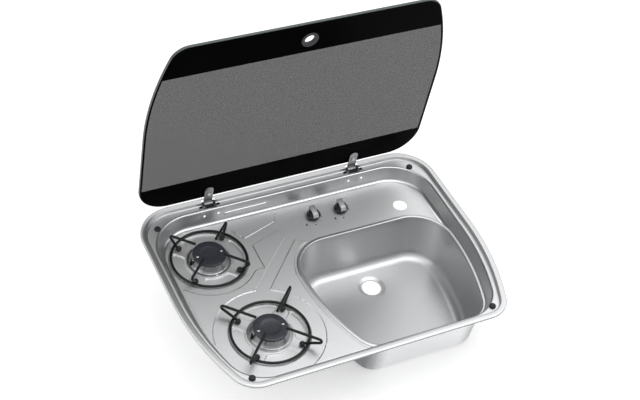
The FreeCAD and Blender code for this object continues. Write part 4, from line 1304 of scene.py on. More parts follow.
    def features(self, spots: np.ndarray) -> list[tuple[np.ndarray, Field, Sequence[float]]]:
        """Features that shape the deck.

        Args:
            spots: Plan points, one row each.

        Returns:
            For each feature, the points near it, the distance that shapes it and the levels of its lines.
        """
        found = [(np.abs(self.panels(spots)) < self.panel_reach, self.panels, self.panel_levels)]
        middle, reach = self.pocket_reach
        edge = (self.well_edge[0] + self.well_edge[1]) / 2.0
        for name in BURNERS:
            def from_edge(p: np.ndarray, name: str = name) -> np.ndarray:
                """Distance of points from the middle of the well's edge."""
                return self.from_burner(p, name) - edge

            def from_pocket(p: np.ndarray, name: str = name) -> np.ndarray:
                """Distance of points from the pockets of the well."""
                return self.pockets(p, name)

            found.append((np.abs(from_edge(spots)) < self.well_reach, from_edge, self.well_levels))
            found.append((np.abs(from_pocket(spots) - middle) < reach, from_pocket, self.pocket_levels))
        return found

    def deck_spots(self) -> np.ndarray:
        """Free points of the deck: on lines along its features, and wide apart elsewhere.

        Returns:
            Plan points, one row each.
        """
        fine = honeycomb(*self.deck_box, self.fine_gap)
        lines = []
        taken = np.zeros(len(fine), dtype=bool)
        for near, distance, levels in self.features(fine):
            picked = fine[near & ~taken]
            taken |= near
            value = distance(picked)
            slope = slope_of(distance, picked)
            steep = np.maximum((slope * slope).sum(axis=1), 0.2)
            goal = np.array(levels)[np.abs(value[:, None] - np.array(levels)[None, :]).argmin(axis=1)]
            lines.append(picked + slope * ((goal - value) / steep)[:, None])
        coarse = honeycomb(*self.deck_box, self.wide_gap)
        clear = np.ones(len(coarse), dtype=bool)
        for _, distance, _ in self.features(coarse):
            clear &= np.abs(distance(coarse)) > self.wide_off
        return thinned(np.concatenate(lines + [coarse[clear]]), self.least_gap)

    def holes(self) -> list[tuple[float, float, float]]:
        """Place and radius of each round hole in the deck."""
        found = [self.tap_hole] + [(x, y, self.knob_hole) for x, y in KNOBS.values()]
        for x, y in BURNERS.values():
            found += [(x, y, self.well_hole), (x + PROBE_X, y, self.probe_hole)]
        return found

    def deck(self, work: Patchwork, outer: np.ndarray, bead: np.ndarray) -> None:
        """Adds the deck between the foot of the recess wall and the bead round the bowl.

        Args:
            work: Patches of the top.
            outer: Closed loop of the wall's foot.
            bead: Closed loop of the bead's foot.
        """
        holes = self.holes()

        def keep(mids: np.ndarray) -> np.ndarray:
            """Which middles lie on the deck and in none of its holes."""
            good = RECESS_PLAN.depth(mids) > self.wall[-1][0] - 0.02
            good &= BOWL_PLAN.depth(mids) < 0.02 - self.bead_width
            return good & clear_of(mids, holes, 0.995)

        loops = [outer, bead] + [circle(x, y, r, max(20, round(r * 3.0))) for x, y, r in holes]
        points, faces = fill(loops, self.deck_spots(), keep)
        spots = np.column_stack([points, self.height(points)])
        edges = np.abs(self.panels(points[faces].mean(axis=1))) < self.panel_slope / 2.0
        work.patch(spots, faces[~edges])
        work.patch(spots, faces[edges], Mark.PRESSED)

    def straight(self, work: Patchwork, plan: Plan, profile: np.ndarray, stops: np.ndarray,
                 cuts: Sequence[np.ndarray], keep: Field, spots: np.ndarray, rise: Field) -> None:
        """Adds the straight rear stretch of a swept profile, with cut-outs and a pressed rise.

        Args:
            work: Patches of the top.
            plan: Outline that the profile follows.
            profile: Distance in and height of each profile point.
            stops: Places along the line, left to right.
            cuts: Closed loops of the cut-outs, by place along the line and run down the profile.
            keep: Says which places are sheet.
            spots: Free points that the rise needs.
            rise: How far the sheet stands proud at each place.
        """
        runs = runs_of(profile)
        ends = (plan.left + plan.rear_round, plan.right - plan.rear_round)
        line = np.concatenate([[ends[0]], stops, [ends[1]]])
        low = np.column_stack([line, np.zeros(len(line))])
        high = np.column_stack([line, np.full(len(line), runs[-1])])
        inner = runs[1:-1]
        left = np.column_stack([np.full(len(inner), ends[0]), inner])
        right = np.column_stack([np.full(len(inner), ends[1]), inner])
        border = np.concatenate([low, right, high[::-1], left[::-1]])
        grid = np.array([(x, run) for x in stops for run in inner])
        if len(spots):
            grid = grid[rise(grid) <= 0.0]
            grid = thinned(np.concatenate([spots, grid]), self.rib_gap[1])
        points, faces = fill([border] + list(cuts), grid, keep)
        inset = np.interp(points[:, 1], runs, profile[:, 0])
        z = np.interp(points[:, 1], runs, profile[:, 1])
        places = np.column_stack([points[:, 0], plan.rear - inset, z])
        if len(spots):
            proud = rise(points)
            places[:, 1] -= proud
            places[:, 2] += proud * self.rib_lift
        work.patch(places, faces, Mark.PRESSED)

    def build(self) -> bpy.types.Object:
        """Builds and dresses the top.

        Returns:
            The finished piece.
        """
        work = Patchwork()
        half, _, notch_rear = self.notch
        notch_ends = [side * HINGE_X + s * half for side in (-1, 1) for s in (-1, 1)]
        rim = rounded(self.rim, self.rim_rounds)
        seat = OUTER_PLAN.rear - notch_rear
        top = next(i for i, p in enumerate(rim) if p[0] > seat)
        rim = np.insert(rim, top, (seat, self.rim[1][1]), axis=0)
        rim_stops = OUTER_PLAN.rear_line(self.rear_gap, notch_ends)
        rim_rows = swept(OUTER_PLAN.path(), rim)
        foot_end = next(i for i, p in enumerate(rim) if p[1] > self.lip_foot)
        # The lip's foot takes the painted shade line; the rest of the rim takes the pressed steel
        work.strip(rim_rows[::-1, :foot_end + 1], False, Mark.LIP_SHADE, False)
        work.strip(rim_rows[:, foot_end:], False, Mark.PRESSED)
        runs = runs_of(rim)
        cuts = []
        for side in (-1, 1):
            a, b = side * HINGE_X - half, side * HINGE_X + half
            cuts.append(np.array([(a, runs[top]), (b, runs[top]), (b, runs[-1]), (a, runs[-1])]))

        def on_rim(mids: np.ndarray) -> np.ndarray:
            """Which places lie outside the hinge notches."""
            return ~((np.abs(np.abs(mids[:, 0]) - HINGE_X) < half) & (mids[:, 1] > runs[top]))

        self.straight(work, OUTER_PLAN, rim, rim_stops, cuts, on_rim, NO_SPOTS, lambda p: np.zeros(len(p)))
        wall = rounded(self.wall, self.wall_rounds)
        wall_rows = swept(RECESS_PLAN.path(), wall)
        flat = BOWL_PLAN.held(wall_rows[:, :, :2].reshape(-1, 2), -math.inf, -self.bead_width / 2.0)
        wall_rows[:, :, :2] = flat.reshape(wall_rows.shape[0], -1, 2)
        work.strip(wall_rows, False, Mark.PRESSED)
        wall_stops = RECESS_PLAN.rear_line(self.rear_gap)
        self.rear_wall(work, wall, wall_stops)
        self.ledge(work, rim, wall, rim_stops, wall_stops)
        bead_profile = rounded([(-self.bead_width, DECK_Z), (-self.bead_width, BEAD_Z),
                                (bowl_wall(BEAD_Z), BEAD_Z), (bowl_wall(COLLAR_Z), COLLAR_Z)],
                               [self.bead_round, self.bead_round], 18.0)
        bead_rows = swept(BOWL_PATH, bead_profile)
        foot = bead_rows[:, 0, :2].copy()
        inner = RECESS_PLAN.held(bead_rows[:, :, :2].reshape(-1, 2), self.bead_off_wall, math.inf)
        bead_rows[:, :, :2] = inner.reshape(bead_rows.shape[0], -1, 2)
        crest = next(i for i, p in enumerate(bead_profile) if p[0] > -self.bead_width / 2.0)
        work.strip(bead_rows[:, :crest + 1], True, Mark.PRESSED)
        work.strip(bead_rows[:, crest:], True, Mark.BOWL)
        points, normals = RECESS_PLAN.path(wall_stops)
        self.deck(work, points - normals * wall[-1][0], foot)
        mesh = thickened("top_work", work.mesh("top_pressing"))
        finishes = [SATIN_STEEL, PRESSED_STEEL, LIP_SHADE_STEEL, BOWL_STEEL]
        piece = finish_piece("top_sheet", mesh, finishes, Body.UNIT, ["top_pressing"], SHEET_CREASE)
        SATIN_STEEL.lay_grain(piece.data)
        self.even_normals(piece.data)
        return piece

    def even_normals(self, mesh: bpy.types.Mesh) -> None:
        """Gives the deck the exact slope of its height, so that reflections run evenly over its triangles.

        Args:
            mesh: Finished mesh of the top.
        """
        places = np.empty(len(mesh.vertices) * 3)
        mesh.vertices.foreach_get("co", places)
        places = places.reshape(-1, 3) / MM
        spots = places[:, :2]
        on_deck = np.abs(places[:, 2] - self.height(spots)) < 0.01
        on_deck &= RECESS_PLAN.depth(spots) > self.wall[-1][0] + 0.05
        on_deck &= BOWL_PLAN.depth(spots) < -self.bead_width - 0.05
        normals = np.column_stack([-slope_of(self.height, spots, 0.02), np.ones(len(spots))])
        normals /= np.linalg.norm(normals, axis=1)[:, None]
        corners = np.empty(len(mesh.loops), dtype=np.int32)
        mesh.loops.foreach_get("vertex_index", corners)
        counts = np.empty(len(mesh.polygons), dtype=np.int32)
        mesh.polygons.foreach_get("loop_total", counts)
        facing = np.empty(len(mesh.polygons) * 3)
        mesh.polygons.foreach_get("normal", facing)
        upward = np.repeat(facing.reshape(-1, 3)[:, 2] > 0.3, counts)
        given = np.where((on_deck[corners] & upward)[:, None], normals[corners], 0.0)
        mesh.normals_split_custom_set(given.tolist())

    def rear_wall(self, work: Patchwork, wall: np.ndarray, stops: np.ndarray) -> None:
        """Adds the rear stretch of the recess wall, with its fixing holes and its pressed rib.

        Args:
            work: Patches of the top.
            wall: Profile of the wall.
            stops: Places along the line, left to right.
        """
        runs = runs_of(wall)
        down = -wall[:, 1]
        spread, hole_z, radius = self.fixing
        x0, x1, rib_z, half = self.rib
        hole_run = float(np.interp(-hole_z, down, runs))
        rib_run = float(np.interp(-rib_z, down, runs))
        holes = [(side * HINGE_X + s * spread, hole_run, radius) for side in (-1, 1) for s in (-1, 1)]

        def off_rib(spots: np.ndarray) -> np.ndarray:
            """Distance of places from the middle line of the rib."""
            return np.hypot(spots[:, 0] - np.clip(spots[:, 0], x0, x1), spots[:, 1] - rib_run)

        def rise(spots: np.ndarray) -> np.ndarray:
            """How far the rib stands out of the wall."""
            return self.rib_rise * smooth((half - off_rib(spots)) / self.rib_slope)

        margin = self.rib_margin
        fine = honeycomb((x0 - margin, rib_run - margin), (x1 + margin, rib_run + margin), self.rib_gap[0])
        fine = fine[off_rib(fine) < half + self.rib_reach]
        cuts = [circle(*hole, 24) for hole in holes]
        self.straight(work, RECESS_PLAN, wall, stops, cuts, lambda mids: clear_of(mids, holes), fine, rise)

    def ledge(self, work: Patchwork, rim: np.ndarray, wall: np.ndarray, rim_stops: np.ndarray,
              wall_stops: np.ndarray) -> None:
        """Adds the flat ledge between the rim and the recess wall, with a notch at each hinge.

        Args:
            work: Patches of the top.
            rim: Profile of the rim.
            wall: Profile of the recess wall.
            rim_stops: Places along the rim's rear line.
            wall_stops: Places along the wall's rear line.
        """
        points, normals = OUTER_PLAN.path(rim_stops)
        outer = points - normals * rim[-1][0]
        points, normals = RECESS_PLAN.path(wall_stops)
        inner = points - normals * wall[0][0]
        half, front, _ = self.notch
        edge = OUTER_PLAN.rear - rim[-1][0]
        notches = []
        for side in (-1, 1):
            a, b = side * HINGE_X - half, side * HINGE_X + half
            notches.append(np.array([(a, front), (b, front), (b, edge), (a, edge)]))

        def keep(mids: np.ndarray) -> np.ndarray:
            """Which middles lie on the ledge and in no notch."""
            good = OUTER_PLAN.depth(mids) > rim[-1][0] - 0.01
            good &= RECESS_PLAN.depth(mids) < wall[0][0] + 0.01
            inside = (np.abs(np.abs(mids[:, 0]) - HINGE_X) < half) & (mids[:, 1] > front)
            return good & ~inside

        flat, faces = fill([outer, inner] + notches, NO_SPOTS, keep)
        work.patch(at_height(flat, LEDGE_Z), faces, Mark.SATIN)


@dataclass
class SinkBowl:
    """Drawn bowl with leaning walls, a large floor fillet, a slight fall and a stepped drain seat."""

    fillet: float = 20.0
    flat: float = 31.0
    floor_box: tuple[Pair, Pair] = ((-20.0, -165.0), (245.0, 60.0))
    floor_gap: float = 6.0
    seat_steps: int = 96
    drain: Pair = (112.6, 13.3)
    seat: Sequence[Pair] = ((30.0, -125.6), (26.5, -125.7), (20.5, -128.5), (18.1, -128.5))
    seat_rounds: Sequence[float] = (2.0, 1.2)
    fall: float = 0.6

    def floor_height(self, spots: np.ndarray) -> np.ndarray:
        """Height of the floor, which falls to the drain in four faint planes.

        Args:
            spots: Plan points, one row each.

        Returns:
            One height for each point.
        """
        depth = np.maximum(BOWL_PLAN.depth(spots) - self.flat, 0.0)
        reach = np.hypot(spots[:, 0] - self.drain[0], spots[:, 1] - self.drain[1])
        share = depth / (depth + np.maximum(reach - self.seat[0][0], 0.0) + 1e-6)
        return FLOOR_Z - self.fall * share

    def build(self) -> bpy.types.Object:
        """Builds and dresses the bowl.

        Returns:
            The finished piece.
        """
        work = Patchwork()
        profile = rounded([(bowl_wall(COLLAR_Z), COLLAR_Z), (bowl_wall(FLOOR_Z), FLOOR_Z),
                           (self.flat, FLOOR_Z)], [self.fillet], 9.0)
        work.strip(swept(BOWL_PATH, profile))
        loop = BOWL_PATH[0] - BOWL_PATH[1] * self.flat
        seat = rounded(self.seat, self.seat_rounds)
        rim = (*self.drain, seat[0][0])

        def keep(mids: np.ndarray) -> np.ndarray:
            """Which middles lie on the floor outside the drain seat."""
            return (BOWL_PLAN.depth(mids) > self.flat) & clear_of(mids, [rim], 0.999)

        free = honeycomb(*self.floor_box, self.floor_gap)
        flat, faces = fill([loop, circle(*rim, self.seat_steps)], free, keep)
        work.patch(np.column_stack([flat, self.floor_height(flat)]), faces)
        rings = [at_height(circle(*self.drain, radius, self.seat_steps), z) for radius, z in seat]
        work.strip(np.stack(rings, axis=1))
        mesh = work.mesh("sink_bowl")
        # The outside of the bowl takes the steel with the painted shade towards its ends
        finishes = [BOWL_STEEL, DIE_STEEL_PAINTED_SHADE]
        for finish in finishes:
            mesh.materials.append(finish.material())
        mesh = thickened("bowl_work", mesh, 1)
        return finish_piece("bowl_sheet", mesh, finishes, Body.UNIT, ["sink_bowl"], SHEET_CREASE)


@dataclass
class GlassLid:
    """Printed glass lid with its finger ring, seen open."""

    low: float = 0.7
    high: float = 5.7
    edge: float = 1.2
    edge_flat: float = 0.4
    rear_gap: float = 12.0
    pane_box: tuple[Pair, Pair] = ((-285.0, -205.0), (285.0, 193.0))
    pane_gap: float = 30.0
    finger: tuple[float, float, float] = (0.0, -170.0, 13.0)
    screw_hole: tuple[float, float] = (185.4, 3.5)
    ring: Sequence[Pair] = ((10.0, 0.1), (10.0, -0.5), (15.8, -0.5), (15.8, 0.7), (12.9, 0.7), (12.9, 5.7),
                            (15.8, 5.7), (15.8, 6.9), (10.0, 6.9), (10.0, 0.1))
    ring_rounds: Sequence[float] = (0.6, 0.6, 0.1, 0.1, 0.1, 0.1, 0.6, 0.6)

    def build(self) -> None:
        """Builds and dresses the glass and the ring."""
        work = Patchwork()
        path = LID_PLAN.path(LID_PLAN.rear_line(self.rear_gap), 4.0)
        inset = self.edge + self.edge_flat
        rim = rounded([(inset, self.high), (0.0, self.high), (0.0, self.low), (inset, self.low)],
                      [self.edge, self.edge], 18.0)
        work.strip(swept(path, rim), True, 1)
        holes = [self.finger] + [(side * HINGE_X, *self.screw_hole) for side in (-1, 1)]
        loops = [path[0] - path[1] * inset]
        for hole in holes:
            ring = circle(*hole, 48)
            loops.append(ring)
            wall = np.stack([at_height(ring, z) for z in (self.low, self.high)], axis=1)
            work.strip(wall, True, 1, False)

        def keep(mids: np.ndarray) -> np.ndarray:
            """Which middles lie on the pane and in no hole."""
            return (LID_PLAN.depth(mids) > inset - 0.01) & clear_of(mids, holes)

        flat, faces = fill(loops, honeycomb(*self.pane_box, self.pane_gap), keep)
        for z, mark in ((self.low, 0), (self.high, 2)):
            work.patch(at_height(flat, z), faces, mark)
        mesh = opened(work.mesh("glass_lid", True))
        finish_piece("glass_pane", mesh, [PRINTED_GLASS, GLASS_EDGE, CLEAR_GLASS], Body.LID, ["glass_lid"])
        ring = lathe(rounded(self.ring, self.ring_rounds), self.finger[:2], 64)
        finish_piece("finger_ring", opened(ring.mesh("finger_ring", True)), [GREY_RUBBER], Body.LID,
                     ["finger_grommet"])


@dataclass
class LidHinges:
    """Hinge leaves, pins, blocks and screws, and the buffers that the closed lid rests on."""

    screw_head: Sequence[Pair] = ((0.0, -2.0), (1.25, -2.0), (1.25, 0.0), (2.7, 0.0), (2.6, 0.8), (1.5, 1.4),
                                  (0.0, 1.4))
    screw_rounds: Sequence[float] = (0.0, 0.0, 0.2, 0.5, 0.4)
    block_screw: tuple[float, float, float] = (16.5, 204.4, -2.7)
    lug_from: float = 13.6
    buffer: Sequence[Pair] = ((0.0, 0.0), (6.0, 0.0), (6.0, 2.4), (4.6, 4.9), (0.0, 4.9))
    buffer_rounds: Sequence[float] = (0.2, 1.2, 2.4)
    buffers: Sequence[Pair] = ((261.0, 178.5), (232.3, -195.4))

    def build(self) -> None:
        """Builds and dresses every piece of the hinges."""
        for side in ("left", "right"):
            CadCopy("hinge_arm_" + side, LEAF_STEEL, Body.LID, 0.35).build()
            CadCopy("hinge_pin_" + side, BRIGHT_STEEL, Body.UNIT, 0.2).build()
            CadCopy("hinge_block_" + side, BLACK_NYLON, Body.UNIT, 0.4, (self.lug_from, LEAF_STEEL)).build()
        for node, finish in (("leaf_pads", BLACK_RUBBER), ("lid_screws", BRIGHT_STEEL),
                             ("lid_caps", BRIGHT_STEEL)):
            CadCopy(node, finish, Body.LID, 0.15).build()
        across, y, z = self.block_screw
        spots = [(side * HINGE_X + s * across, y, z) for side in (-1, 1) for s in (-1, 1)]
        head = rounded(self.screw_head, self.screw_rounds)
        set_out("hinge_block_screws", head, 28, spots, BLACK_STEEL, "hinge_screws")
        dome = rounded(self.buffer, self.buffer_rounds)
        spots = [(s * x, y, LEDGE_Z) for x, y in self.buffers for s in (-1, 1)]
        set_out("ledge_buffers", dome, 40, spots, BLACK_RUBBER, "lid_buffers")


@dataclass
class Burner:
    """One gas burner with its enamelled cap, flame ports, screws and flame probe."""

    name: str
    skirt: Sequence[Pair] = ((9.0, -52.0), (20.0, -52.0), (20.0, -46.0), (26.5, -43.0), (26.5, -34.2),
                             (41.0, -34.2), (41.0, -33.0), (35.4, -33.0), (32.6, -29.0), (30.4, -23.6),
                             (29.8, -21.6), (25.5, -21.6), (25.5, -30.0), (12.0, -38.0), (9.0, -41.0),
                             (9.0, -52.0))
    skirt_rounds: Sequence[float] = (0.4, 1.0, 0.4, 0.0, 0.4, 0.4, 2.5, 6.0, 4.0, 0.2, 0.3, 1.0, 0.5, 0.5)
    ports: int = 30
    tooth: tuple[float, float, float] = (4.2, 4.2, 2.6)
    crown: Pair = (27.6, -20.3)
    cap: Sequence[Pair] = ((0.0, -19.0), (31.0, -19.0), (31.0, -15.6), (28.0, -15.0), (19.5, -15.0),
                           (14.0, -16.3), (7.0, -16.7), (0.0, -16.8))
    cap_rounds: Sequence[float] = (0.5, 1.1, 2.0, 2.6, 4.0, 6.0)
    cap_screw: Pair = (23.0, -16.4)
    cap_seat: Pair = (3.0, 6.0)
    screw_head: Sequence[Pair] = ((0.0, -9.0), (1.5, -9.0), (1.5, 0.0), (2.8, 0.0), (2.7, 1.0), (1.6, 1.5),
                                  (0.0, 1.5))
    screw_rounds: Sequence[float] = (0.0, 0.0, 0.2, 0.5, 0.5)
    probe: Sequence[Pair] = ((0.0, -50.0), (2.2, -50.0), (2.2, -36.0), (2.4, -36.0), (2.4, -25.0),
                             (1.7, -24.0), (1.7, -19.6), (1.2, -18.6), (0.0, -18.4))
    probe_marks: Sequence[int] = (0, 0, 0, 0, 0, 1, 1, 1)

    def build(self) -> None:
        """Builds and dresses every piece of the burner."""
        x, y = BURNERS[self.name]
        tag = "_" + self.name
        work = lathe(rounded(self.skirt, self.skirt_rounds), (x, y), 96)
        body = work.mesh("burner" + tag, True)
        seed = bpy.data.meshes.new("crown" + tag)
        seed.from_pydata([(0.0, 0.0, 0.0)], [], [])
        radius, z = self.crown
        crown = grown("crown" + tag, seed, CROWN, {
            "Teeth": self.ports, "Radius": radius * MM, "Tooth": [size * MM for size in self.tooth],
            "Finish": CAST_ALUMINIUM.material()})
        crown.transform(Matrix.Translation(Vector((x, y, z)) * MM))
        finish_piece("burner_skirt" + tag, body, [CAST_ALUMINIUM], Body.UNIT, ["burner_body" + tag], 30.0)
        finish_piece("burner_crown" + tag, crown, [CAST_ALUMINIUM], Body.UNIT)
        self.build_cap(x, y, tag)
        self.build_screws(x, y, tag)
        rod = lathe(np.array(self.probe), (x + PROBE_X, y), 28, self.probe_marks)
        finish_piece("flame_probe" + tag, rod.mesh("probe" + tag, True), [PROBE_STEEL, PROBE_TIP], Body.UNIT,
                     ["thermocouple" + tag])
        CadCopy("jet_holder" + tag, ZINC_STEEL, Body.UNIT, 0.4).build()
        CadCopy("jet" + tag, BRASS, Body.UNIT, 0.2).build()

    def build_cap(self, x: float, y: float, tag: str) -> None:
        """Builds the cap with a sunk seat for each screw.

        Args:
            x: Place of the burner across the unit.
            y: Its place along the unit.
            tag: End of the pieces' names.
        """
        disc = lathe(rounded(self.cap, self.cap_rounds, 10.0), (x, y), 96)
        cap = scratch("cap_work" + tag, disc.mesh("cap", True))
        tools = Patchwork()
        across, seat = self.cap_screw
        radius, depth = self.cap_seat
        for s in (-1, 1):
            tools.prism(circle(x + s * across, y, radius, 32), seat, seat + depth)
        cutter = scratch("cap_seats" + tag, tools.mesh("seats", True))
        cut = cap.modifiers.new("seats", "BOOLEAN")
        cut.operation = "DIFFERENCE"
        cut.solver = "EXACT"
        cut.object = cutter
        mesh = flattened(cap)
        bpy.data.objects.remove(cutter)
        finish_piece("burner_cap_disc" + tag, mesh, [CAP_ENAMEL], Body.UNIT, ["burner_cap" + tag], 32.0)

    def build_screws(self, x: float, y: float, tag: str) -> None:
        """Builds the screws of the cap.

        Args:
            x: Place of the burner across the unit.
            y: Its place along the unit.
            tag: End of the pieces' names.
        """
        across, seat = self.cap_screw
        head = rounded(self.screw_head, self.screw_rounds)
        spots = [(x + s * across, y, seat) for s in (-1, 1)]
        set_out("cap_screw_pair" + tag, head, 32, spots, BRIGHT_STEEL, "cap_screws" + tag)


@dataclass
class FlangeScrews:
    """Small screws that fix the burner flanges to the wells."""

    profile: Sequence[Pair] = ((0.0, -6.2), (1.5, -6.2), (1.5, 0.0), (2.3, 0.0), (2.2, 0.7), (1.2, 1.2),
                               (0.0, 1.2))
    rounds: Sequence[float] = (0.0, 0.0, 0.15, 0.4, 0.3)
    place: Pair = (38.6, -33.0)

    def build(self) -> None:
        """Builds and dresses the screws."""
        head = rounded(self.profile, self.rounds)
        spots = [(x, y + s * self.place[0], self.place[1]) for x, y in BURNERS.values() for s in (-1, 1)]
        set_out("flange_screw_set", head, 24, spots, BRIGHT_STEEL, "burner_screws")


@dataclass
class PanSupport:
    """Wire pan support: a ring with four hairpin fingers on rubber feet."""

    name: str
    corner: float
    wire: float = 2.5
    ring: Pair = (69.0, -28.0)
    finger: Sequence[Pair] = ((28.0, -4.0), (0.0, -4.0), (65.8, -25.2), (60.0, -30.2))
    bend: float = 4.5
    foot: tuple[float, float, float] = (60.0, -30.2, 5.2)

    def build(self) -> None:
        """Builds and dresses the wires and the feet."""
        x, y = BURNERS[self.name]
        tag = "_" + self.name
        loop = circle(x, y, self.ring[0], 120)
        lines = [(at_height(loop, self.ring[1]), True)]
        turns = [math.radians(45.0 + 90.0 * i) for i in range(4)]
        for turn in turns:
            spots = [(self.corner if r == 0.0 else r, z) for r, z in self.finger]
            line = bent([(x + r * math.cos(turn), y + r * math.sin(turn), z) for r, z in spots], self.bend)
            lines.append((line, False))
        mesh = wires("pan_wires" + tag, lines, self.wire, WIRE_ENAMEL, 20)
        finish_piece("pan_wires" + tag, mesh, [WIRE_ENAMEL], Body.UNIT, ["pan_support" + tag], 50.0)
        reach, z, radius = self.foot
        flat = PAD_Z - z
        low = math.asin(flat / radius)
        ball = [(0.0, flat)] + [(radius * math.cos(a), radius * math.sin(a))
                                for a in np.linspace(low, math.pi / 2.0, 16)]
        spots = [(x + reach * math.cos(t), y + reach * math.sin(t), z) for t in turns]
        set_out("wire_feet" + tag, np.array(ball), 32, spots, BLACK_RUBBER, "support_feet" + tag)


@dataclass
class Knob:
    """Push-and-turn knob with its spindle, plunger and metal-finished bar."""

    side: str
    body: Body
    push: Body
    skirt: Sequence[Pair] = ((0.0, -27.5), (13.5, -27.5), (13.5, -24.6), (11.7, -23.2), (10.4, -20.0),
                             (8.8, -17.4), (0.0, -17.4))
    rounds: Sequence[float] = (0.5, 0.9, 0.8, 3.0, 1.6)
    bar: Sequence[Pair] = ((12.9, -23.6), (12.9, -12.5), (-9.0, -16.2), (-12.9, -20.8), (-12.9, -23.6))
    bar_rounds: Sequence[float] = (0.9, 1.6, 1.0)
    bar_width: float = 11.0
    bar_edge: Sequence[Pair] = ((0.0, 0.8), (0.25, 0.25), (0.8, 0.0))

    def grip(self) -> bpy.types.Mesh:
        """Wedge bar, high at the rear, whose ends follow the knob's round.

        Returns:
            The mesh of the bar, in place.
        """
        x, y = KNOBS[self.side]
        outline = rounded(self.bar, self.bar_rounds)
        far, low = outline[0]
        half = self.bar_width / 2.0
        left = [(inset - half, drop) for inset, drop in self.bar_edge]
        rows = []
        for across, drop in left + [(-place, drop) for place, drop in reversed(left)]:
            reach = math.sqrt(1.0 - (across / far) ** 2)
            heights = np.maximum(outline[:, 1] - drop, low)
            places = np.full(len(outline), x + across)
            rows.append(np.column_stack([places, y + outline[:, 0] * reach, heights]))
        sheet = np.array(rows)
        work = Patchwork()
        work.strip(sheet, False, 0, False)
        work.strip(sheet[:, [-1, 0]], False, 0, False)
        for end in (sheet[0], sheet[-1]):
            work.patch(end, np.arange(len(end))[None, :], 0, False)
        return work.mesh("grip_" + self.side, True)

    def build(self) -> None:
        """Builds and dresses the knob and what it turns and pushes."""
        tag = "_" + self.side
        skirt = lathe(rounded(self.skirt, self.rounds), KNOBS[self.side], 64).mesh("knob" + tag, True)
        finish_piece("knob_skirt" + tag, skirt, [BLACK_NYLON], self.body, ["knob" + tag], 30.0)
        finish_piece("knob_bar" + tag, self.grip(), [SILVER_PLASTIC], self.body, ["knob_grip" + tag], 30.0)
        CadCopy("spindle" + tag, ZINC_STEEL, self.body, 0.2).build()
        CadCopy("plunger" + tag, BRASS, self.push, 0.2).build()


@dataclass
class DeckMarks:
    """Small baked marks beside the knobs: a dot for off, a dash and a plain flame."""

    dots: Sequence[Pair] = ((33.5, 119.2), (91.6, 118.7))
    flames: Sequence[Pair] = ((16.7, 124.8), (75.8, 122.8))
    dashes: Sequence[Pair] = ((52.9, 136.0), (110.9, 136.0))
    dot: float = 1.6
    dash: Pair = (0.6, 2.2)
    flame_half: Pair = (2.2, 3.2)
    thick: float = 0.06
    sunk: float = 0.05

    def flame(self, spot: Pair) -> np.ndarray:
        """Outline of a plain drop-shaped flame, point up."""
        turns = np.linspace(0.0, 2.0 * math.pi, 28, endpoint=False)
        width = self.flame_half[0] * np.sin(turns) * np.sin(turns / 2.0) ** 1.4
        return np.stack([spot[0] + width, spot[1] + self.flame_half[1] * np.cos(turns)], axis=1)

    def build(self) -> None:
        """Builds and dresses the marks."""
        half = np.array(self.dash)
        bars = [np.array(spot) + half * [(-1, -1), (1, -1), (1, 1), (-1, 1)] for spot in self.dashes]
        dots = [circle(*spot, self.dot, 24) for spot in self.dots]
        work = Patchwork()
        for shape in dots + [self.flame(spot) for spot in self.flames] + bars:
            work.prism(shape, DECK_Z - self.sunk, DECK_Z + self.thick)
        finish_piece("deck_marks", work.mesh("deck_marks", True), [DECK_INK], Body.UNIT)


@dataclass
class GasLine:
    """Gas taps, rail, inlet, tubes and probe leads below the deck."""

    gas_z: float = -58.0
    tube: float = 3.0
    tube_bend: float = 10.0
    lead: float = 1.2
    lead_bend: float = 7.0
    tap_reach: float = 18.0
    burner_reach: float = 24.0
    crossing: Pair = (-80.0, 91.5)
    lead_depth: dict[str, float] = field(default_factory=lambda: {"rear": -84.0, "front": -91.0})
    lead_way: float = 122.0
    lead_ends: Pair = (-50.0, -72.0)

    def build(self) -> None:
        """Builds and dresses every piece of the gas line."""
        for side in ("left", "right"):
            CadCopy("tap_body_" + side, BRASS, Body.UNIT, 0.4).build()
        for node, finish, edge in (("tap_screws", BRIGHT_STEEL, 0.1), ("gas_rail", ZINC_STEEL, 0.3),
                                   ("gas_inlet", BRASS, 0.4), ("tube_nuts", BRASS, 0.4)):
            CadCopy(node, finish, Body.UNIT, edge).build()
        for name, side in (("rear", "left"), ("front", "right")):
            self.build_tube(name, side)
            self.build_lead(name, side)

    def build_tube(self, name: str, side: str) -> None:
        """Builds the supply tube from a tap to its burner.

        Args:
            name: The burner.
            side: Side of its knob.
        """
        bx, by = BURNERS[name]
        tx, ty = KNOBS[side]
        end = (bx + self.burner_reach, by, self.gas_z)
        route = [(tx, ty - self.tap_reach, self.gas_z)]
        if name == "rear":
            route.append((tx, by, self.gas_z))
        else:
            x, y = self.crossing
            route += [(tx, y, self.gas_z), (x, y, self.gas_z), (x, by, self.gas_z)]
        line = bent(route + [end], self.tube_bend)
        mesh = wires("tube_" + name, [(line, False)], self.tube, CAST_ALUMINIUM)
        finish_piece("gas_tube_" + name, mesh, [CAST_ALUMINIUM], Body.UNIT, ["supply_tube_" + name], 50.0)

    def build_lead(self, name: str, side: str) -> None:
        """Builds the lead from a flame probe to its tap.

        Args:
            name: The burner.
            side: Side of its knob.
        """
        bx, by = BURNERS[name]
        tx, ty = KNOBS[side]
        x = bx + PROBE_X
        low = self.lead_depth[name]
        way = by if name == "rear" else self.lead_way
        route = [(x, by, self.lead_ends[0]), (x, by, low)]
        if name == "front":
            route.append((x, way, low))
        route += [(tx, way, low), (tx, ty, low), (tx, ty, self.lead_ends[1])]
        line = bent(route, self.lead_bend)
        mesh = wires("lead_" + name, [(line, False)], self.lead, COPPER, 12)
        finish_piece("probe_lead_" + name, mesh, [COPPER], Body.UNIT, ["thermo_lead_" + name], 50.0)


# Studio


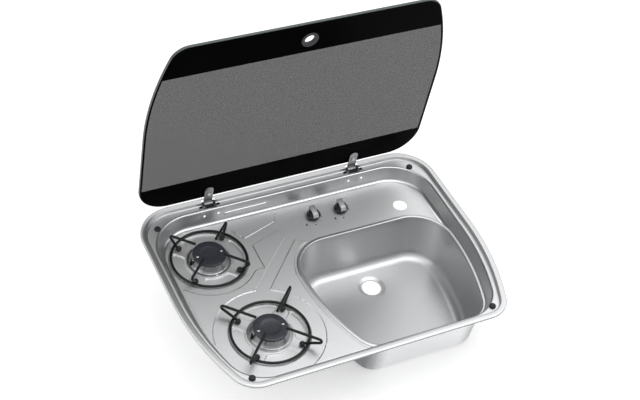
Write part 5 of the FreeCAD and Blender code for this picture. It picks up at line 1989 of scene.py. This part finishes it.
@dataclass
class Studio:
    """White floor, soft overhead light and the camera at the photograph's place."""

    camera: tuple[float, float, float] = (-873.03, -1402.30, 1723.54)
    right: tuple[float, float, float] = (0.90090, -0.42126, 0.10449)
    down: tuple[float, float, float] = (-0.22595, -0.66075, -0.71579)
    ahead: tuple[float, float, float] = (0.37058, 0.62124, -0.69045)
    lens: float = 74.371
    floor_size: float = 24.0
    floor_lift: float = 0.38
    floor_gap: float = 0.0002
    paper: str = "#f4f4f4"
    sky_low: float = 0.4
    sky_high: float = 1.55
    sky_crown: float = 0.9
    sky_front: float = 0.5
    sky_rear: float = 0.45
    rise_span: Pair = (0.1, 0.85)
    crown_span: Pair = (0.92, 0.985)
    front_span: Pair = (-0.9, 0.3)
    rear_span: Pair = (0.75, 0.35)
    lamp_size: Pair = (1.6, 1.2)
    lamp_energy: float = 9.0
    lamp_place: tuple[float, float, float] = (0.5, -0.2, 1.9)
    lamp_lean: float = 14.0

    def build(self) -> None:
        """Builds the floor, the light and the camera."""
        self.build_floor()
        self.build_sky()
        self.build_lamp()
        self.build_camera()

    def build_floor(self) -> None:
        """Builds a pale floor that shows white to the eye, and in metal and glass, and keeps the shadow."""
        low = CAD_BOX[0][2] - self.floor_gap
        half = self.floor_size / 2.0
        mesh = bpy.data.meshes.new("floor")
        mesh.from_pydata([(-half, -half, low), (half, -half, low), (half, half, low), (-half, half, low)], [],
                         [(0, 1, 2, 3)])
        paper = bpy.data.materials.new("white studio paper")
        paper.use_nodes = True
        tree = paper.node_tree
        shader = tree.nodes["Principled BSDF"]
        shader.inputs["Base Color"].default_value = linear(self.paper)
        shader.inputs["Roughness"].default_value = 0.9
        shader.inputs["Specular IOR Level"].default_value = 0.0
        shader.inputs["Emission Color"].default_value = (1.0, 1.0, 1.0, 1.0)
        ray = add(tree, "ShaderNodeLightPath")
        seen = add(tree, "ShaderNodeMath", {0: ray.outputs["Is Camera Ray"], 1: ray.outputs["Is Glossy Ray"]},
                   operation="MAXIMUM")
        seen = add(tree, "ShaderNodeMath", {0: seen.outputs[0], 1: ray.outputs["Is Transmission Ray"]},
                   operation="MAXIMUM")
        lift = add(tree, "ShaderNodeMath", {0: seen.outputs[0], 1: self.floor_lift}, operation="MULTIPLY")
        tree.links.new(lift.outputs[0], shader.inputs["Emission Strength"])
        mesh.materials.append(paper)
        scratch("floor", mesh)

    def build_sky(self) -> None:
        """Builds the white surround, brightest high up round the lamp and dimmer at the front and rear."""
        world = bpy.data.worlds.new("studio")
        world.use_nodes = True
        bpy.context.scene.world = world
        tree = world.node_tree
        place = add(tree, "ShaderNodeTexCoord")
        way = add(tree, "ShaderNodeSeparateXYZ", {0: place.outputs["Generated"]})
        rise = add(tree, "ShaderNodeMapRange", {
            0: way.outputs["Z"], 1: self.rise_span[0], 2: self.rise_span[1], 3: self.sky_low,
            4: self.sky_high}, interpolation_type="SMOOTHSTEP")
        crown = add(tree, "ShaderNodeMapRange", {
            0: way.outputs["Z"], 1: self.crown_span[0], 2: self.crown_span[1], 3: self.sky_high,
            4: self.sky_crown}, interpolation_type="SMOOTHSTEP")
        level = add(tree, "ShaderNodeMath", {0: rise.outputs[0], 1: crown.outputs[0]}, operation="MINIMUM")
        front = add(tree, "ShaderNodeMapRange", {
            0: way.outputs["Y"], 1: self.front_span[0], 2: self.front_span[1], 3: self.sky_front})
        rear = add(tree, "ShaderNodeMapRange", {
            0: way.outputs["Y"], 1: self.rear_span[0], 2: self.rear_span[1], 3: self.sky_rear})
        ends = add(tree, "ShaderNodeMath", {0: front.outputs[0], 1: rear.outputs[0]}, operation="MINIMUM")
        both = add(tree, "ShaderNodeMath", {0: level.outputs[0], 1: ends.outputs[0]}, operation="MULTIPLY")
        tree.links.new(both.outputs[0], tree.nodes["Background"].inputs["Strength"])
        tree.nodes["Background"].inputs["Color"].default_value = (1.0, 1.0, 1.0, 1.0)

    def build_lamp(self) -> None:
        """Builds one large soft lamp above the unit."""
        lamp = bpy.data.lights.new("overhead", "AREA")
        lamp.shape = "RECTANGLE"
        lamp.size, lamp.size_y = self.lamp_size
        lamp.energy = self.lamp_energy
        made = bpy.data.objects.new("overhead", lamp)
        bpy.context.scene.collection.objects.link(made)
        lean = Matrix.Rotation(math.radians(self.lamp_lean), 4, "Y")
        made.matrix_world = Matrix.Translation(self.lamp_place) @ lean

    def build_camera(self) -> None:
        """Builds the camera."""
        lens = bpy.data.cameras.new("photograph")
        lens.lens = self.lens
        lens.sensor_width = 36.0
        lens.clip_end = 60.0
        made = bpy.data.objects.new("photograph", lens)
        bpy.context.scene.collection.objects.link(made)
        turn = Matrix((self.right, [-v for v in self.down], [-v for v in self.ahead])).transposed()
        made.matrix_world = Matrix.Translation(Vector(self.camera) * MM) @ turn.to_4x4()
        bpy.context.scene.camera = made


def main() -> None:
    """Builds the object and the studio."""
    logging.basicConfig(level=logging.INFO, format="%(name)s: %(message)s")
    bpy.context.scene.view_settings.view_transform = "Standard"
    TopPressing().build()
    SinkBowl().build()
    GlassLid().build()
    LidHinges().build()
    for name in BURNERS:
        Burner(name).build()
    FlangeScrews().build()
    PanSupport("front", 107.0).build()
    PanSupport("rear", 81.0).build()
    Knob("left", Body.LEFT_KNOB, Body.LEFT_PUSH).build()
    Knob("right", Body.RIGHT_KNOB, Body.RIGHT_PUSH).build()
    DeckMarks().build()
    GasLine().build()
    Studio().build()


if __name__ == "__main__":
    main()
